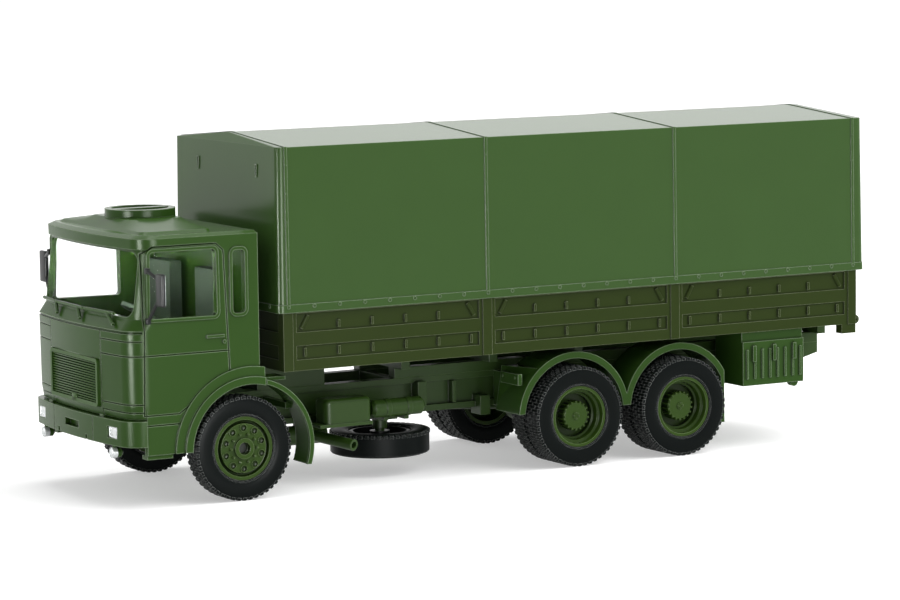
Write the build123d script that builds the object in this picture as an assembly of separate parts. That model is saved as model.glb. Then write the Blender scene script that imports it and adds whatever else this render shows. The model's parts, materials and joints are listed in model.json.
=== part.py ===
from build123d import *
from math import cos, radians, sin
import os

# Plastic scale model of a three-axle army cargo truck with a cab over the engine, drop sides
# and a moulded canvas cover. Millimetres at the model's own size, X forward, Y left, Z up.
# The origin is on the ground under the middle of the model.

# Axles along the length
front_overhang = 16.0
wheelbase = 46.5
bogie_spacing = 15.5
rear_overhang = 28.35

# Wheels
tyre_radius = 6.3
tyre_width = 3.0
lug_count = 36
lug_share = 0.62
lug_depth = 0.3
bead_sides = 20
bead_inset = 0.25
twin_gap = 0.4
rim_radius = 3.85
rim_wall = 0.45
hub_radius = 1.25
hub_bore_radius = 0.75
hub_proud = 0.3
disc_thickness = 0.75
hand_hole_count = 10
hand_hole_radius = 0.36
hand_hole_circle = 2.45
rear_hub_radius = 1.8
rear_dish_depth = 2.3
rear_hub_depth = 0.8
rear_disc_thickness = 0.8
rear_hub_bevel = 0.2
front_tyre_proud = 0.15
rear_tyre_span = 29.3
axle_radius = 0.6
housing_radius = 0.95
differential_radius = 2.18
differential_flat = 0.35
pin_recess = 0.7

# Fits
fit_gap = 0.03
running_clearance = 0.05
side_clearance = 0.3

# Ladder frame, heights stacked from the axle upward
frame_over_axle = 1.0
frame_height = 4.45
rail_share = 0.655
rail_flange = 1.5
rail_web = 0.8
flange_thickness = 0.75
frame_front_offset = 11.5
cross_member_thickness = 1.0
rail_taper_length = 12.0
rail_taper_rise = 3.06
engine_rear_offset = 5.0
gearbox_length = 5.0
gearbox_half = 1.8
gearbox_gap = 0.7
shaft_radius = 0.5
shaft_drop = 1.5

# Springs
leaf_thickness = 0.7
leaf_width = 1.2
front_spring_half = 6.0
bogie_spring_rise = 0.8
spring_saddle_half = 1.5
trunnion_half = 1.2
trunnion_drop = 0.6

# Cargo bed and cover
runner_height = 1.3
runner_front_offset = 25.2
bearer_height = 1.95
bearer_width = 1.2
bearer_count = 6
clip_block_front = 6.2
clip_block_rear = 15.4
floor_thickness = 1.2
board_height = 7.05
board_thickness = 1.3
board_relief = 0.2
bed_width = 28.1
bed_gap = 3.2
bay_count = 3
post_width = 1.3
post_proud = 0.12
clips_per_bay = 6
clip_width = 0.3
clip_proud = 0.08
clip_margin = 0.5
lever_lean = 0.45
corner_foot_length = 2.2
corner_foot_height = 1.2
cover_lip = 0.8
cover_side_overhang = 0.3
cover_front_overhang = 0.65
cover_rear_overhang = 1.2
cover_wall = 0.8
cover_wall_height = 19.8
cover_ridge_rise = 1.15
cover_ridge_half = 0.3
ridge_rounding = 0.8
cover_draft = 0.2
cover_corner = 0.8
cover_hip = 0.75
seam_width = 0.4
seam_proud = 0.07
hem_height = 1.0
hinge_tube_radius = 0.55
hinge_bore_radius = 0.3

# Cab shell
cab_width = 28.2
cab_wall = 0.8
cab_rear_offset = 2.3
cab_base_drop = 1.0
cab_floor_lift = 2.6
cab_floor_thickness = 0.8
cab_corner_radius = 2.6
front_bulge = 1.3
arch_setback = 0.85
arch_radius = 7.65
flare_step = 0.95
flare_width = 2.15
flare_proud = 0.42
flare_step_proud = 0.2
flare_tail = 0.6
sill_drop = 4.3
sill_front_offset = 12.5
sill_rear_offset = 5.5
sill_overlap = 1.0
sill_groove_drop = 0.85
step_height = 0.5
step_length = 3.3
step_depth = 1.6
step_inset = 0.15
groove_width = 0.14
groove_depth = 0.16
ledge_groove_width = 0.26
ledge_groove_lift = 10.25
door_crease_lift = 7.45
roof_corner = 1.0
opening_reach = 5.0
window_corner = 0.9
window_frame = 0.4
frame_proud = 0.14
handle_length = 2.3
handle_height = 0.35
handle_proud = 0.18
lock_radius = 0.24
glass_thickness = 0.45
glass_recess = 0.15
screen_inset = 1.35
screen_corner = 1.3
screen_lift = 11.95
screen_height = 7.65

# Bumper and lamps
bumper_height = 3.08
bumper_gap = 0.15
bumper_thickness = 0.9
bumper_proud = 0.25
bumper_end_offset = 12.6
bumper_seam_y = 5.7
tow_slot_width = 4.0
tow_slot_height = 0.85
notch_y = 4.0
notch_width = 0.5
notch_height = 0.6
slot_depth = 0.75
pad_inset = 6.6
pad_width = 0.9
pad_length = 0.5
pad_height = 0.3
bracket_inset = 0.3
lens_setback = 0.1
headlamp_inset = 3.8
headlamp_width = 2.2
headlamp_height = 1.35
fog_lamp_inset = 4.0
fog_lamp_radius = 0.6
fog_lamp_bevel = 0.25
fog_lamp_length = 1.3
fog_lamp_gap = 0.3
fog_lamp_setback = 0.0
fog_stalk_radius = 0.25
fog_stalk_setback = 0.35

# Front grille
grille_width = 13.9
grille_height = 5.8
grille_lift = 0.9
grille_frame = 0.45
grille_corner = 0.5
grille_depth = 1.0
slat_count = 24
slat_share = 0.5
slat_setback = 0.15
grille_recess = 0.45
grille_setback = 0.4
grille_clip = 0.7

# Cab inside
seat_y = 6.5
seat_width = 5.8
seat_length = 6.0
seat_drop = 3.0
rest_rise = 4.5
rest_thickness = 1.6
rest_setback = 0.6
cushion_offset = 0.2
floor_front_gap = 0.1
dash_gap = 0.3
dash_drop = 0.2
dash_side_gap = 1.2
dash_hood = 2.0
dash_hood_rise = 0.4
dash_lip = 3.2
dash_lip_drop = 1.6
dash_foot = 2.4
wheel_rim_radius = 2.3
wheel_rim_width = 0.45
wheel_sides = 20
column_radius = 0.3
column_length = 2.4
column_setback = 2.6
column_drop = 0.6
column_tilt = 30.0

# Roof hatch, mirrors and wipers
hatch_offset = 6.4
hatch_radius = 4.27
hatch_rise = 0.97
hatch_rim = 0.8
hatch_recess = 0.25
hatch_bar = 1.2
mirror_offset = 11.8
mirror_reach = 3.0
mirror_lift = 15.45
mirror_width = 1.8
mirror_height = 3.9
mirror_depth = 0.55
mirror_arm_radius = 0.22
mirror_foot_offset = 12.2
mirror_foot_high = 17.5
mirror_foot_low = 11.6
mirror_foot_gap = 0.3
mirror_arm_inset = 0.6
mirror_arm_spread = 1.2
wiper_radius = 0.22
wiper_gap = 0.36
wiper_blade_lift = 0.3

# Front and rear mudguards
front_guard_radius = 8.35
front_guard_thickness = 0.45
front_guard_width = 4.0
front_guard_end = 2.6
front_guard_lip = 0.12
front_guard_lip_width = 0.4
front_guard_gap = 0.1
front_shelf_length = 3.1
front_shelf_setback = 1.3
front_shelf_drop = 0.2
front_stay_offset = 7.3
front_stay_reach = 3.0
front_stay_lift = 4.3
stay_half = 0.4
guard_radius = 8.05
guard_thickness = 0.55
guard_lip_thickness = 0.85
guard_lip_width = 0.5
guard_tuck = 0.75
guard_setback = 1.35
guard_front_lift = 0.7
guard_nose = 0.9
guard_flap_offset = 7.0
guard_flap_end = 2.7
guard_nose_share = 0.78
guard_tail_lift = 3.0
guard_plate_height = 1.4
guard_plate_drop = 0.6
guard_plate_proud = 0.15
apron_setback = 1.4
apron_thickness = 0.5

# Spare wheel, tanks and boxes
spare_offset = 24.0
spare_y = 3.5
spare_drop = 1.9
spare_band_radius = 6.2
spare_shoulder = 0.7
spare_pin_collar = 0.95
spare_plate_half = 1.5
spare_plate_reach = 1.0
spare_plate_thickness = 0.6
spare_pin_gap = 0.3
tank_front_offset = 12.5
tank_length = 6.4
tank_height = 3.0
tank_depth = 3.2
tank_gap = 2.6
tank_corner = 0.8
tank_top_corner = 0.6
tank_lift = 0.4
tray_thickness = 0.4
tray_nose = 0.8
tray_proud = 0.1
air_tank_gap = 0.5
air_tank_length = 7.25
air_tank_radius = 1.1
air_tank_lift = 1.6
air_tank_bevel = 0.35
air_tank_shift = 0.1
strap_width = 0.6
strap_proud = 0.06
silencer_radius = 1.2
silencer_length = 6.5
silencer_offset = 9.0
silencer_drop = 1.6
hanger_offset = 2.6
hanger_length = 1.4
hanger_half = 0.5
tail_pipe_radius = 0.7
tail_pipe_bore = 0.45
tail_pipe_drop = 0.8
tail_pipe_lap = 2.0
tail_pipe_bore_depth = 1.0
tool_box_length = 9.4
tool_box_height = 5.7
tool_box_inset = 0.45
tool_box_gap = 1.8
tool_box_offset = 9.7
tool_box_drop = 1.3
tool_box_ribs = 8
rib_width = 0.3
rib_proud = 0.2
rib_top_gap = 1.0
rib_bottom_gap = 0.9
latch_width = 0.5
latch_height = 2.1
latch_gap = 0.5
latch_proud = 0.35
box_plate_height = 1.2
box_plate_inset = 0.3
hook_radius = 0.6
hook_share = 0.14
hook_half = 0.4
tail_lamp_radius = 0.4
tail_lamp_length = 0.35
tow_recess = 2.2
tow_width = 2.6
tow_height = 1.2
tow_bore_radius = 0.5
tow_wall = 0.35

# Places that follow from the sizes above
overall_length = front_overhang + wheelbase + bogie_spacing + rear_overhang
front_end_x = overall_length / 2
rear_end_x = -overall_length / 2
front_axle_x = front_end_x - front_overhang
middle_axle_x = front_axle_x - wheelbase
rear_axle_x = middle_axle_x - bogie_spacing
bogie_x = (middle_axle_x + rear_axle_x) / 2
axle_z = tyre_radius
frame_bottom = axle_z + frame_over_axle
frame_top = frame_bottom + frame_height
twin_inner_face = rear_tyre_span / 2 - 2 * tyre_width - twin_gap
rail_outer = rail_share * twin_inner_face
rail_inner = rail_outer - rail_flange
spring_y = (rail_outer + twin_inner_face) / 2
frame_front_x = front_axle_x + frame_front_offset
engine_rear_x = front_axle_x - engine_rear_offset
floor_bottom = frame_top + runner_height + bearer_height
cover_bottom = floor_bottom + board_height
cover_eave = cover_bottom + cover_wall_height
cover_width = bed_width + 2 * cover_side_overhang
cab_rear_x = front_axle_x - cab_rear_offset
bed_front_x = cab_rear_x - bed_gap
cover_rear_x = rear_end_x + seam_proud
bed_rear_x = cover_rear_x + cover_rear_overhang
bed_half = bed_width / 2
bed_length = bed_front_x - bed_rear_x
bed_mid_x = (bed_front_x + bed_rear_x) / 2
frame_rear_x = bed_rear_x
cover_front_x = bed_front_x + cover_front_overhang
cover_length = cover_front_x - cover_rear_x
cover_mid_x = (cover_front_x + cover_rear_x) / 2
cab_base = frame_top - cab_base_drop
cab_floor_z = frame_top + cab_floor_lift
cab_floor_top = cab_floor_z + cab_floor_thickness
cab_half = cab_width / 2
headlamp_y = cab_half - headlamp_inset
fog_lamp_y = cab_half - fog_lamp_inset
pad_y = cab_half - pad_inset
screen_half = cab_half - screen_inset
mirror_y = cab_half + mirror_reach
arch_x = front_axle_x - arch_setback
arch_z = axle_z
flare_tail_x = cab_rear_x - flare_tail
sill_bottom = cab_base - sill_drop
screen_bottom = cab_base + screen_lift
screen_top = screen_bottom + screen_height
bumper_top = cab_base - bumper_gap
bumper_bottom = bumper_top - bumper_height
front_wheel_y = cab_half + front_tyre_proud - tyre_width / 2
rear_wheel_y = rear_tyre_span / 2 - tyre_width - twin_gap / 2
guard_outer = rear_tyre_span / 2 - guard_setback
guard_inner = twin_inner_face - guard_tuck
tank_inner = rail_outer + tank_gap
tank_outer = tank_inner + tank_depth
tool_box_outer = bed_half - tool_box_inset
tool_box_inner = rail_outer + tool_box_gap
tool_box_depth = tool_box_outer - tool_box_inner

# Wheel faces from the rim inward, in columns: inset from the rim's outside, depth below its edge
front_rim_face = ((0.0, 0.0), (0.4, 0.0), (0.5, 0.55), (0.72, 0.6), (0.85, 0.05))
rear_rim_face = ((0.0, 0.0), (0.35, 0.0), (0.45, 0.7), (0.75, 0.8), (0.85, 1.5), (1.1, 1.6))

# Cab outline at each height, in columns: height above the cab's base, set back from the front end,
# inset at each side, inset at the rear
cab_levels = {
    "skirt": (0.0, 0.7, 0.0, 0.0),
    "chin": (1.5, 0.45, 0.0, 0.0),
    "crease": (10.4, 0.35, 0.0, 0.0),
    "ledge": (11.7, 1.3, 0.0, 0.0),
    "brow": (19.75, 2.3, 0.0, 0.0),
    "visor": (19.9, 1.85, 0.0, 0.0),
    "gutter": (21.15, 1.8, 0.0, 0.0),
    "roof": (21.5, 2.5, 0.4, 0.35),
}
outside_only = ("visor", "gutter")

# Raised roof panel, in columns: height above the cab's base, rear and front edges ahead of the front
# axle, half width
roof_levels = (
    (21.2, 2.4, 12.5, 12.6),
    (21.8, 2.7, 11.6, 11.9),
    (22.7, 3.2, 10.3, 5.4),
)

# Window and door outlines, in columns: distance of the corner ahead of the front axle, height above
# the cab's base
door_window = ((11.9, 11.8), (3.2, 11.7), (3.3, 19.6), (11.8, 19.6))
quarter_window = ((1.1, 11.8), (-0.5, 11.8), (-0.5, 19.3), (1.1, 19.3))
door_outline = (
    (12.84, 0.35),
    (8.3, 0.35),
    (4.0, 3.2),
    (1.6, 5.05),
    (2.2, 19.4),
    (3.2, 20.3),
    (11.4, 20.3),
    (12.5, 19.4),
)
handle_place = (3.5, 9.25)

# Grooves round each front corner, by height above the cab's base
corner_grooves = (0.8, 1.75, 7.45, 9.2)

# Wipers across the cab, in columns: pivot, joint on the blade, the blade's two ends
wiper_places = ((10.2, 8.0, 9.6, 2.4), (2.1, 0.5, 2.0, -6.4), (-5.0, -6.7, -6.8, -11.6))

# Recessed planks of the drop sides, in columns: lower edge and upper edge above the bed's floor
planks = ((1.33, 2.99), (4.63, 6.9))
low_clip = (1.7, 2.7)
high_clip = (4.94, 5.85)
lever_span = (5.05, 6.6)

# Latches and hangers of the tool boxes and straps of the air tank, as shares of the length
box_latches = (0.17, 0.5, 0.83)
box_hangers = (0.2, 0.8)
tank_straps = (0.3, 0.7)
lamp_shares = (0.3, 0.7)

# Brackets on the outside of each rail, in columns: distance behind the front axle, length, reach
# outward, lower and upper ends above the frame's bottom
frame_brackets = (
    (28.6, 1.2, 0.9, 0.9, 3.9),
    (33.5, 0.5, 0.35, 0.9, 3.6),
    (37.4, 1.4, 1.3, -0.9, 1.5),
)


# Shared shapes
def block(x0, x1, y0, y1, z0, z1):
    centre = Pos((x0 + x1) / 2, (y0 + y1) / 2, (z0 + z1) / 2)
    return centre * Box(abs(x1 - x0), abs(y1 - y0), abs(z1 - z0))


def side_plate(sketch, y0, y1):
    return extrude(Plane.XZ.offset(-y1) * sketch, amount=y1 - y0, dir=(0, -1, 0))


def front_plate(sketch, x0, x1):
    return extrude(Plane.YZ.offset(x0) * sketch, amount=x1 - x0, dir=(1, 0, 0))


def flat_plate(sketch, z0, z1):
    return extrude(Pos(0, 0, z0) * sketch, amount=z1 - z0, dir=(0, 0, 1))


def rod(start, end, radius):
    path = Vector(*end) - Vector(*start)
    return extrude(Plane(origin=start, z_dir=path) * Circle(radius), amount=path.length)


def cross_rod(x, z, half_length, radius):
    return rod((x, -half_length, z), (x, half_length, z), radius)


def mirrored(shape):
    return mirror(shape, about=Plane.XZ)


def both_sides(shape):
    return shape + mirrored(shape)


def ring(x, z, outer, inner):
    return Pos(x, z) * (Circle(outer) - Circle(inner))


def polar_point(radius, angle):
    return radius * cos(radians(angle)), radius * sin(radians(angle))


# Tyres and rims about the wheel's own axle, with the outer face towards +Y; a lug points straight down
def tyre_ring():
    half = tyre_width / 2
    pitch = 360 / lug_count
    lug_half = lug_share * pitch / 2
    corner_radius = tyre_radius / cos(radians(lug_half))
    points = []
    for index in range(lug_count):
        middle = index * pitch - 90
        points.append(polar_point(corner_radius, middle - lug_half))
        points.append(polar_point(corner_radius, middle + lug_half))
        points.append(polar_point(tyre_radius - lug_depth, middle + pitch / 2))
    tread = side_plate(Polygon(*points, align=None), -half, half)
    bead = RegularPolygon(rim_radius, bead_sides, major_radius=False)
    return tread - side_plate(bead, -tyre_width, tyre_width)


def front_rim():
    outer = rim_radius - fit_gap
    bore = axle_radius + fit_gap
    edge = tyre_width / 2 - bead_inset
    points = [(outer - inset, edge - depth) for inset, depth in front_rim_face]
    points += [
        (hub_radius, edge),
        (hub_radius, edge + hub_proud),
        (hub_bore_radius, edge + hub_proud),
        (hub_bore_radius, edge - hub_proud),
        (bore, edge - hub_proud),
        (bore, -edge),
        (hub_radius, -edge),
        (hub_radius, edge - disc_thickness),
        (outer - rim_wall, edge - disc_thickness - rim_wall),
        (outer - rim_wall, -edge),
        (outer, -edge),
    ]
    rim = revolve(Polygon(*points, align=None), axis=Axis.Y)
    holes = []
    for index in range(hand_hole_count):
        x, z = polar_point(hand_hole_circle, (index + 0.5) * 360 / hand_hole_count)
        holes.append(rod((x, -edge, z), (x, 2 * edge, z), hand_hole_radius))
    return rim - holes


def rear_rim():
    outer = rim_radius - fit_gap
    bore = axle_radius + fit_gap
    edge = tyre_width + twin_gap / 2 - bead_inset
    disc = edge - rear_dish_depth
    back = disc - rear_disc_thickness
    hub_face = edge - rear_hub_depth
    points = [(outer - inset, edge - depth) for inset, depth in rear_rim_face]
    points += [
        (points[-1][0], disc),
        (rear_hub_radius, disc),
        (rear_hub_radius, hub_face - rear_hub_bevel),
        (rear_hub_radius - rear_hub_bevel, hub_face),
        (0, hub_face),
        (0, disc),
        (bore, disc),
        (bore, rim_wall - edge),
        (hub_radius, rim_wall - edge),
        (hub_radius, back),
        (outer - rim_wall, back),
        (outer - rim_wall, -edge),
        (outer, -edge),
    ]
    return revolve(Polygon(*points, align=None), axis=Axis.Y)


def place_wheel(shape, x, y):
    return Pos(x, y, axle_z) * shape


def front_wheelset():
    pin_half = front_wheel_y + tyre_width / 2 - pin_recess
    tyre = place_wheel(tyre_ring(), front_axle_x, front_wheel_y)
    rim = place_wheel(front_rim(), front_axle_x, front_wheel_y)
    return {
        "front_axle_pin": cross_rod(front_axle_x, axle_z, pin_half, axle_radius),
        "front_tyre_left": tyre,
        "front_tyre_right": mirrored(tyre),
        "front_rim_left": rim,
        "front_rim_right": mirrored(rim),
    }


def rear_wheelset(name, axle_x):
    disc_y = rear_wheel_y + tyre_width + twin_gap / 2 - bead_inset - rear_dish_depth
    apart = (tyre_width + twin_gap) / 2
    outer_tyre = place_wheel(tyre_ring(), axle_x, rear_wheel_y + apart)
    inner_tyre = place_wheel(tyre_ring(), axle_x, rear_wheel_y - apart)
    tyres = Compound([outer_tyre, inner_tyre])
    rim = place_wheel(rear_rim(), axle_x, rear_wheel_y)
    return {
        name + "_axle_pin": cross_rod(axle_x, axle_z, disc_y - fit_gap, axle_radius),
        name + "_tyres_left": tyres,
        name + "_tyres_right": mirrored(tyres),
        name + "_rim_left": rim,
        name + "_rim_right": mirrored(rim),
    }


# Frame with outward channels and side brackets, tapered up at the tail, and cross members
def chassis_frame():
    taper_x = frame_rear_x + rail_taper_length
    outline = Polygon(
        (frame_front_x, frame_bottom),
        (frame_front_x, frame_top),
        (frame_rear_x, frame_top),
        (frame_rear_x, frame_bottom + rail_taper_rise),
        (taper_x, frame_bottom),
        align=None,
    )
    web_y = rail_inner + rail_web
    channel = block(
        taper_x,
        frame_front_x - flange_thickness,
        web_y,
        rail_outer + rail_flange,
        frame_bottom + flange_thickness,
        frame_top - flange_thickness,
    )
    rail = side_plate(outline, rail_inner, rail_outer) - channel
    for behind, length, reach, low, high in frame_brackets:
        middle = front_axle_x - behind
        rail += block(
            middle - length / 2,
            middle + length / 2,
            web_y - rail_web / 2,
            rail_outer + reach,
            frame_bottom + low,
            frame_bottom + high,
        )
    members = []
    for member_x in cross_member_places():
        members.append(
            block(
                member_x - cross_member_thickness / 2,
                member_x + cross_member_thickness / 2,
                -rail_inner,
                rail_inner,
                frame_bottom + rail_taper_rise,
                frame_top,
            )
        )
    return both_sides(rail) + members


def cross_member_places():
    return (
        frame_front_x - cross_member_thickness / 2,
        engine_rear_x,
        (engine_rear_x + middle_axle_x) / 2,
        bogie_x,
        frame_rear_x + tow_recess + cross_member_thickness / 2,
    )


# Engine between the rails, resting on the two front cross members and under the cab floor
def engine_block():
    half = rail_inner - fit_gap
    front = frame_front_x - cross_member_thickness - fit_gap
    rear = engine_rear_x + cross_member_thickness / 2 + fit_gap
    cab_wall_x = cab_rear_x + cab_wall + fit_gap
    lower = block(rear, front, -half, half, frame_bottom + flange_thickness, frame_top)
    upper = block(cab_wall_x, front, -half, half, frame_top, cab_floor_z)
    return lower + upper


# Front axle beam with leaf springs slung under the axle from the rails
def front_axle_beam():
    half = front_wheel_y - tyre_width / 2 + bead_inset - side_clearance
    leaf_y = (rail_inner + rail_outer) / 2
    reach = front_spring_half
    sag_z = axle_z - housing_radius - leaf_thickness / 2
    eye_z = frame_bottom - leaf_thickness
    beam = Pos(front_axle_x, 0, axle_z) * Box(2 * housing_radius, 2 * half, 2 * housing_radius)
    upper = ThreePointArc((-reach, frame_bottom), (0, sag_z + leaf_thickness), (reach, frame_bottom))
    lower = ThreePointArc((-reach, eye_z), (0, sag_z), (reach, eye_z))
    ends = Line(upper @ 0, lower @ 0) + Line(upper @ 1, lower @ 1)
    strip = Pos(front_axle_x, 0) * make_face(upper + lower + ends)
    spring = side_plate(strip, leaf_y - leaf_width / 2, leaf_y + leaf_width / 2)
    axle = beam + both_sides(spring)
    return axle - cross_rod(front_axle_x, axle_z, half + 1, axle_radius + running_clearance)


# Driven axle: tube, round differential and flat seats for the bogie springs
def axle_housing(axle_x):
    half = twin_inner_face - side_clearance
    tube = cross_rod(axle_x, axle_z, half, housing_radius)
    flat = differential_flat * differential_radius
    profile = Polygon(
        (0, -differential_radius),
        (housing_radius, -differential_radius),
        (differential_radius, -flat),
        (differential_radius, flat),
        (housing_radius, differential_radius),
        (0, differential_radius),
        align=None,
    )
    case = Pos(axle_x, 0, axle_z) * revolve(profile, axis=Axis.Y)
    seat = block(
        axle_x - housing_radius,
        axle_x + housing_radius,
        spring_y - leaf_width / 2,
        spring_y + leaf_width / 2,
        axle_z,
        frame_bottom,
    )
    housing = tube + case + both_sides(seat)
    return housing - cross_rod(axle_x, axle_z, half + 1, axle_radius + running_clearance)


# Bogie springs: a bowed leaf pack each side, resting on the axle seats and held at a trunnion
def bogie_springs():
    seat_z = frame_bottom
    saddle_z = seat_z + bogie_spring_rise
    top_z = saddle_z + 2 * leaf_thickness
    reach = bogie_spacing / 2 + housing_radius
    flat = bogie_spacing / 2 - housing_radius
    saddle = spring_saddle_half
    crown = spring_saddle_half + leaf_thickness / 2
    pack = Polygon(
        (-reach, seat_z),
        (-flat, seat_z),
        (-saddle, saddle_z),
        (saddle, saddle_z),
        (flat, seat_z),
        (reach, seat_z),
        (reach, seat_z + leaf_thickness),
        (flat, seat_z + leaf_thickness),
        (crown, top_z),
        (-crown, top_z),
        (-flat, seat_z + leaf_thickness),
        (-reach, seat_z + leaf_thickness),
        align=None,
    )
    outside = spring_y + leaf_width / 2
    spring = side_plate(Pos(bogie_x, 0) * pack, spring_y - leaf_width / 2, outside)
    trunnion = block(
        bogie_x - trunnion_half,
        bogie_x + trunnion_half,
        rail_outer,
        outside,
        frame_bottom - trunnion_drop,
        top_z,
    )
    side = spring + trunnion
    return Compound([side, mirrored(side)])


# Propeller shafts from the gearbox to the middle axle and on to the rear axle
def prop_shafts():
    gap = differential_radius + fit_gap
    front = engine_rear_x - cross_member_thickness / 2 - fit_gap
    rear = front - gearbox_length
    gearbox = block(
        rear,
        front,
        -gearbox_half,
        gearbox_half,
        frame_bottom + gearbox_gap,
        frame_top - gearbox_gap,
    )
    start = (rear + shaft_radius, 0, frame_bottom + shaft_drop)
    long_shaft = rod(start, (middle_axle_x + gap, 0, axle_z), shaft_radius)
    short_shaft = rod((middle_axle_x - gap, 0, axle_z), (rear_axle_x + gap, 0, axle_z), shaft_radius)
    return Compound([gearbox + long_shaft, short_shaft])


# Cab: a hollow shell lofted through the outline at each height
def cab_section(z, front, half, rear, radius):
    shoulder = front - front_bulge
    nose = ThreePointArc((shoulder, half), (front, 0), (shoulder, -half))
    sides = Polyline((shoulder, -half), (rear, -half), (rear, half), (shoulder, half))
    face = make_face(nose + sides)
    corners = face.vertices().sort_by(Axis.X)[-2:]
    return Pos(0, 0, z) * fillet(corners, radius)


def cab_form(inset, extra_depth):
    sections = []
    for name, (height, setback, side, tail) in cab_levels.items():
        if inset and name in outside_only:
            continue
        drop = inset if name == "roof" else 0.0
        depth = extra_depth if name == "skirt" else 0.0
        sections.append(
            cab_section(
                cab_base + height - drop - depth,
                front_end_x - setback - inset,
                cab_half - side - inset,
                cab_rear_x + tail + inset,
                cab_corner_radius - inset,
            )
        )
    return loft(sections, ruled=True)


def front_face_x(y, setback):
    return front_end_x - setback - front_bulge * (y / cab_half) ** 2


# Raised roof panel, highest along the middle
def roof_panel():
    sections = []
    for height, rear, front, half in roof_levels:
        place = Pos(front_axle_x + (rear + front) / 2, 0, cab_base + height)
        sections.append(place * RectangleRounded(front - rear, 2 * half, roof_corner))
    return loft(sections, ruled=True)


def screen_prism(clearance):
    width = 2 * (screen_half - clearance)
    height = screen_height - 2 * clearance
    opening = Pos(0, (screen_bottom + screen_top) / 2) * RectangleRounded(width, height, screen_corner)
    return front_plate(opening, front_end_x - opening_reach, front_end_x + 1)


def cab_outline(corners):
    points = [(front_axle_x + ahead, cab_base + height) for ahead, height in corners]
    return Polygon(*points, align=None)


def window_outline(corners):
    outline = cab_outline(corners)
    return fillet(outline.vertices(), window_corner / 2)


def side_prism(corners, clearance):
    outline = window_outline(corners)
    opening = offset(outline, -clearance) if clearance else outline
    return side_plate(opening, -cab_width, cab_width)


# Moulded lines: door outlines, crease across the doors, seams and corner grooves of the front panel
def panel_lines():
    thin = groove_width / 2
    door = cab_outline(door_outline)
    lines = side_plate(door - offset(door, -groove_width), -cab_width, cab_width)
    crease_z = cab_base + door_crease_lift
    crease = block(
        front_axle_x + door_outline[3][0],
        front_axle_x + door_outline[0][0],
        -cab_width,
        cab_width,
        crease_z - thin,
        crease_z + thin,
    )
    front_x = front_end_x + 1
    corner_x = front_axle_x + door_outline[0][0]
    seam_y = grille_width / 2 + window_frame
    ledge_z = cab_base + ledge_groove_lift
    ledge = block(
        corner_x,
        front_x,
        -cab_width,
        cab_width,
        ledge_z - ledge_groove_width / 2,
        ledge_z + ledge_groove_width / 2,
    )
    seams = block(corner_x, front_x, seam_y - thin, seam_y + thin, cab_base, ledge_z)
    for height in corner_grooves:
        groove_z = cab_base + height
        seams += block(corner_x, front_x, seam_y, cab_width, groove_z - thin, groove_z + thin)
    lines = lines + crease + ledge + both_sides(seams)
    return lines - cab_form(groove_depth, 1.0)


def flare_band(outer, inner, proud):
    keep = Polygon(
        (flare_tail_x, sill_bottom),
        (front_axle_x + sill_front_offset, sill_bottom),
        (front_axle_x + sill_front_offset, arch_z + 2 * outer),
        (flare_tail_x, arch_z + 2 * outer),
        align=None,
    )
    band = ring(arch_x, arch_z, outer, inner) & keep
    return side_plate(band, cab_half - cab_wall / 2, cab_half + proud)


def sill_and_step():
    inner_side = cab_half - cab_wall
    front = front_axle_x + sill_front_offset
    rear = front_axle_x + sill_rear_offset
    groove_z = cab_base - sill_groove_drop
    sill = block(rear, front, inner_side, cab_half, sill_bottom, cab_base + sill_overlap)
    sill -= block(rear, front, cab_half - groove_depth, cab_half, groove_z, groove_z + groove_width)
    step = block(
        front - step_length,
        front,
        cab_half - step_depth,
        cab_half - step_inset,
        sill_bottom - step_height,
        sill_bottom,
    )
    return sill + step


def door_handle():
    middle_x = front_axle_x + handle_place[0]
    middle_z = cab_base + handle_place[1]
    grip = block(
        middle_x - handle_length / 2,
        middle_x + handle_length / 2,
        cab_half - cab_wall / 2,
        cab_half + handle_proud,
        middle_z - handle_height / 2,
        middle_z + handle_height / 2,
    )
    lock_x = middle_x - handle_length / 2
    lock_z = middle_z - 2 * handle_height
    lock_start = (lock_x, cab_half - cab_wall / 2, lock_z)
    lock = rod(lock_start, (lock_x, cab_half + handle_proud, lock_z), lock_radius)
    return grip + lock


def window_surround(corners):
    outline = window_outline(corners)
    frame = offset(outline, window_frame) - outline
    return side_plate(frame, cab_half - cab_wall / 2, cab_half + frame_proud)


def cab_shell():
    shell = cab_form(0.0, 0.0) + roof_panel() - cab_form(cab_wall, 1.0)
    shell = shell + both_sides(sill_and_step()) - panel_lines()
    shell -= cross_rod(arch_x, arch_z, cab_width, arch_radius)
    step_radius = arch_radius + flare_step
    relief = flare_band(arch_radius + flare_width, step_radius, flare_step_proud)
    relief += flare_band(step_radius, arch_radius, flare_proud)
    relief += door_handle()
    for corners in (door_window, quarter_window):
        relief += window_surround(corners)
    shell += both_sides(relief)
    grille_bottom = cab_base + grille_lift
    grille_hole = block(
        front_end_x - opening_reach,
        front_end_x + 1,
        -grille_width / 2,
        grille_width / 2,
        grille_bottom,
        grille_bottom + grille_height,
    )
    shell = shell - screen_prism(0.0) - grille_hole
    for corners in (door_window, quarter_window):
        shell -= side_prism(corners, 0.0)
    return shell


def glass_skin():
    return cab_form(glass_recess, 0.0) - cab_form(glass_recess + glass_thickness, 1.0)


def windscreen(skin):
    return skin & screen_prism(fit_gap)


def side_windows(skin):
    panes = []
    for corners in (door_window, quarter_window):
        panes.extend((skin & side_prism(corners, fit_gap)).solids())
    return Compound(panes)


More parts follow.
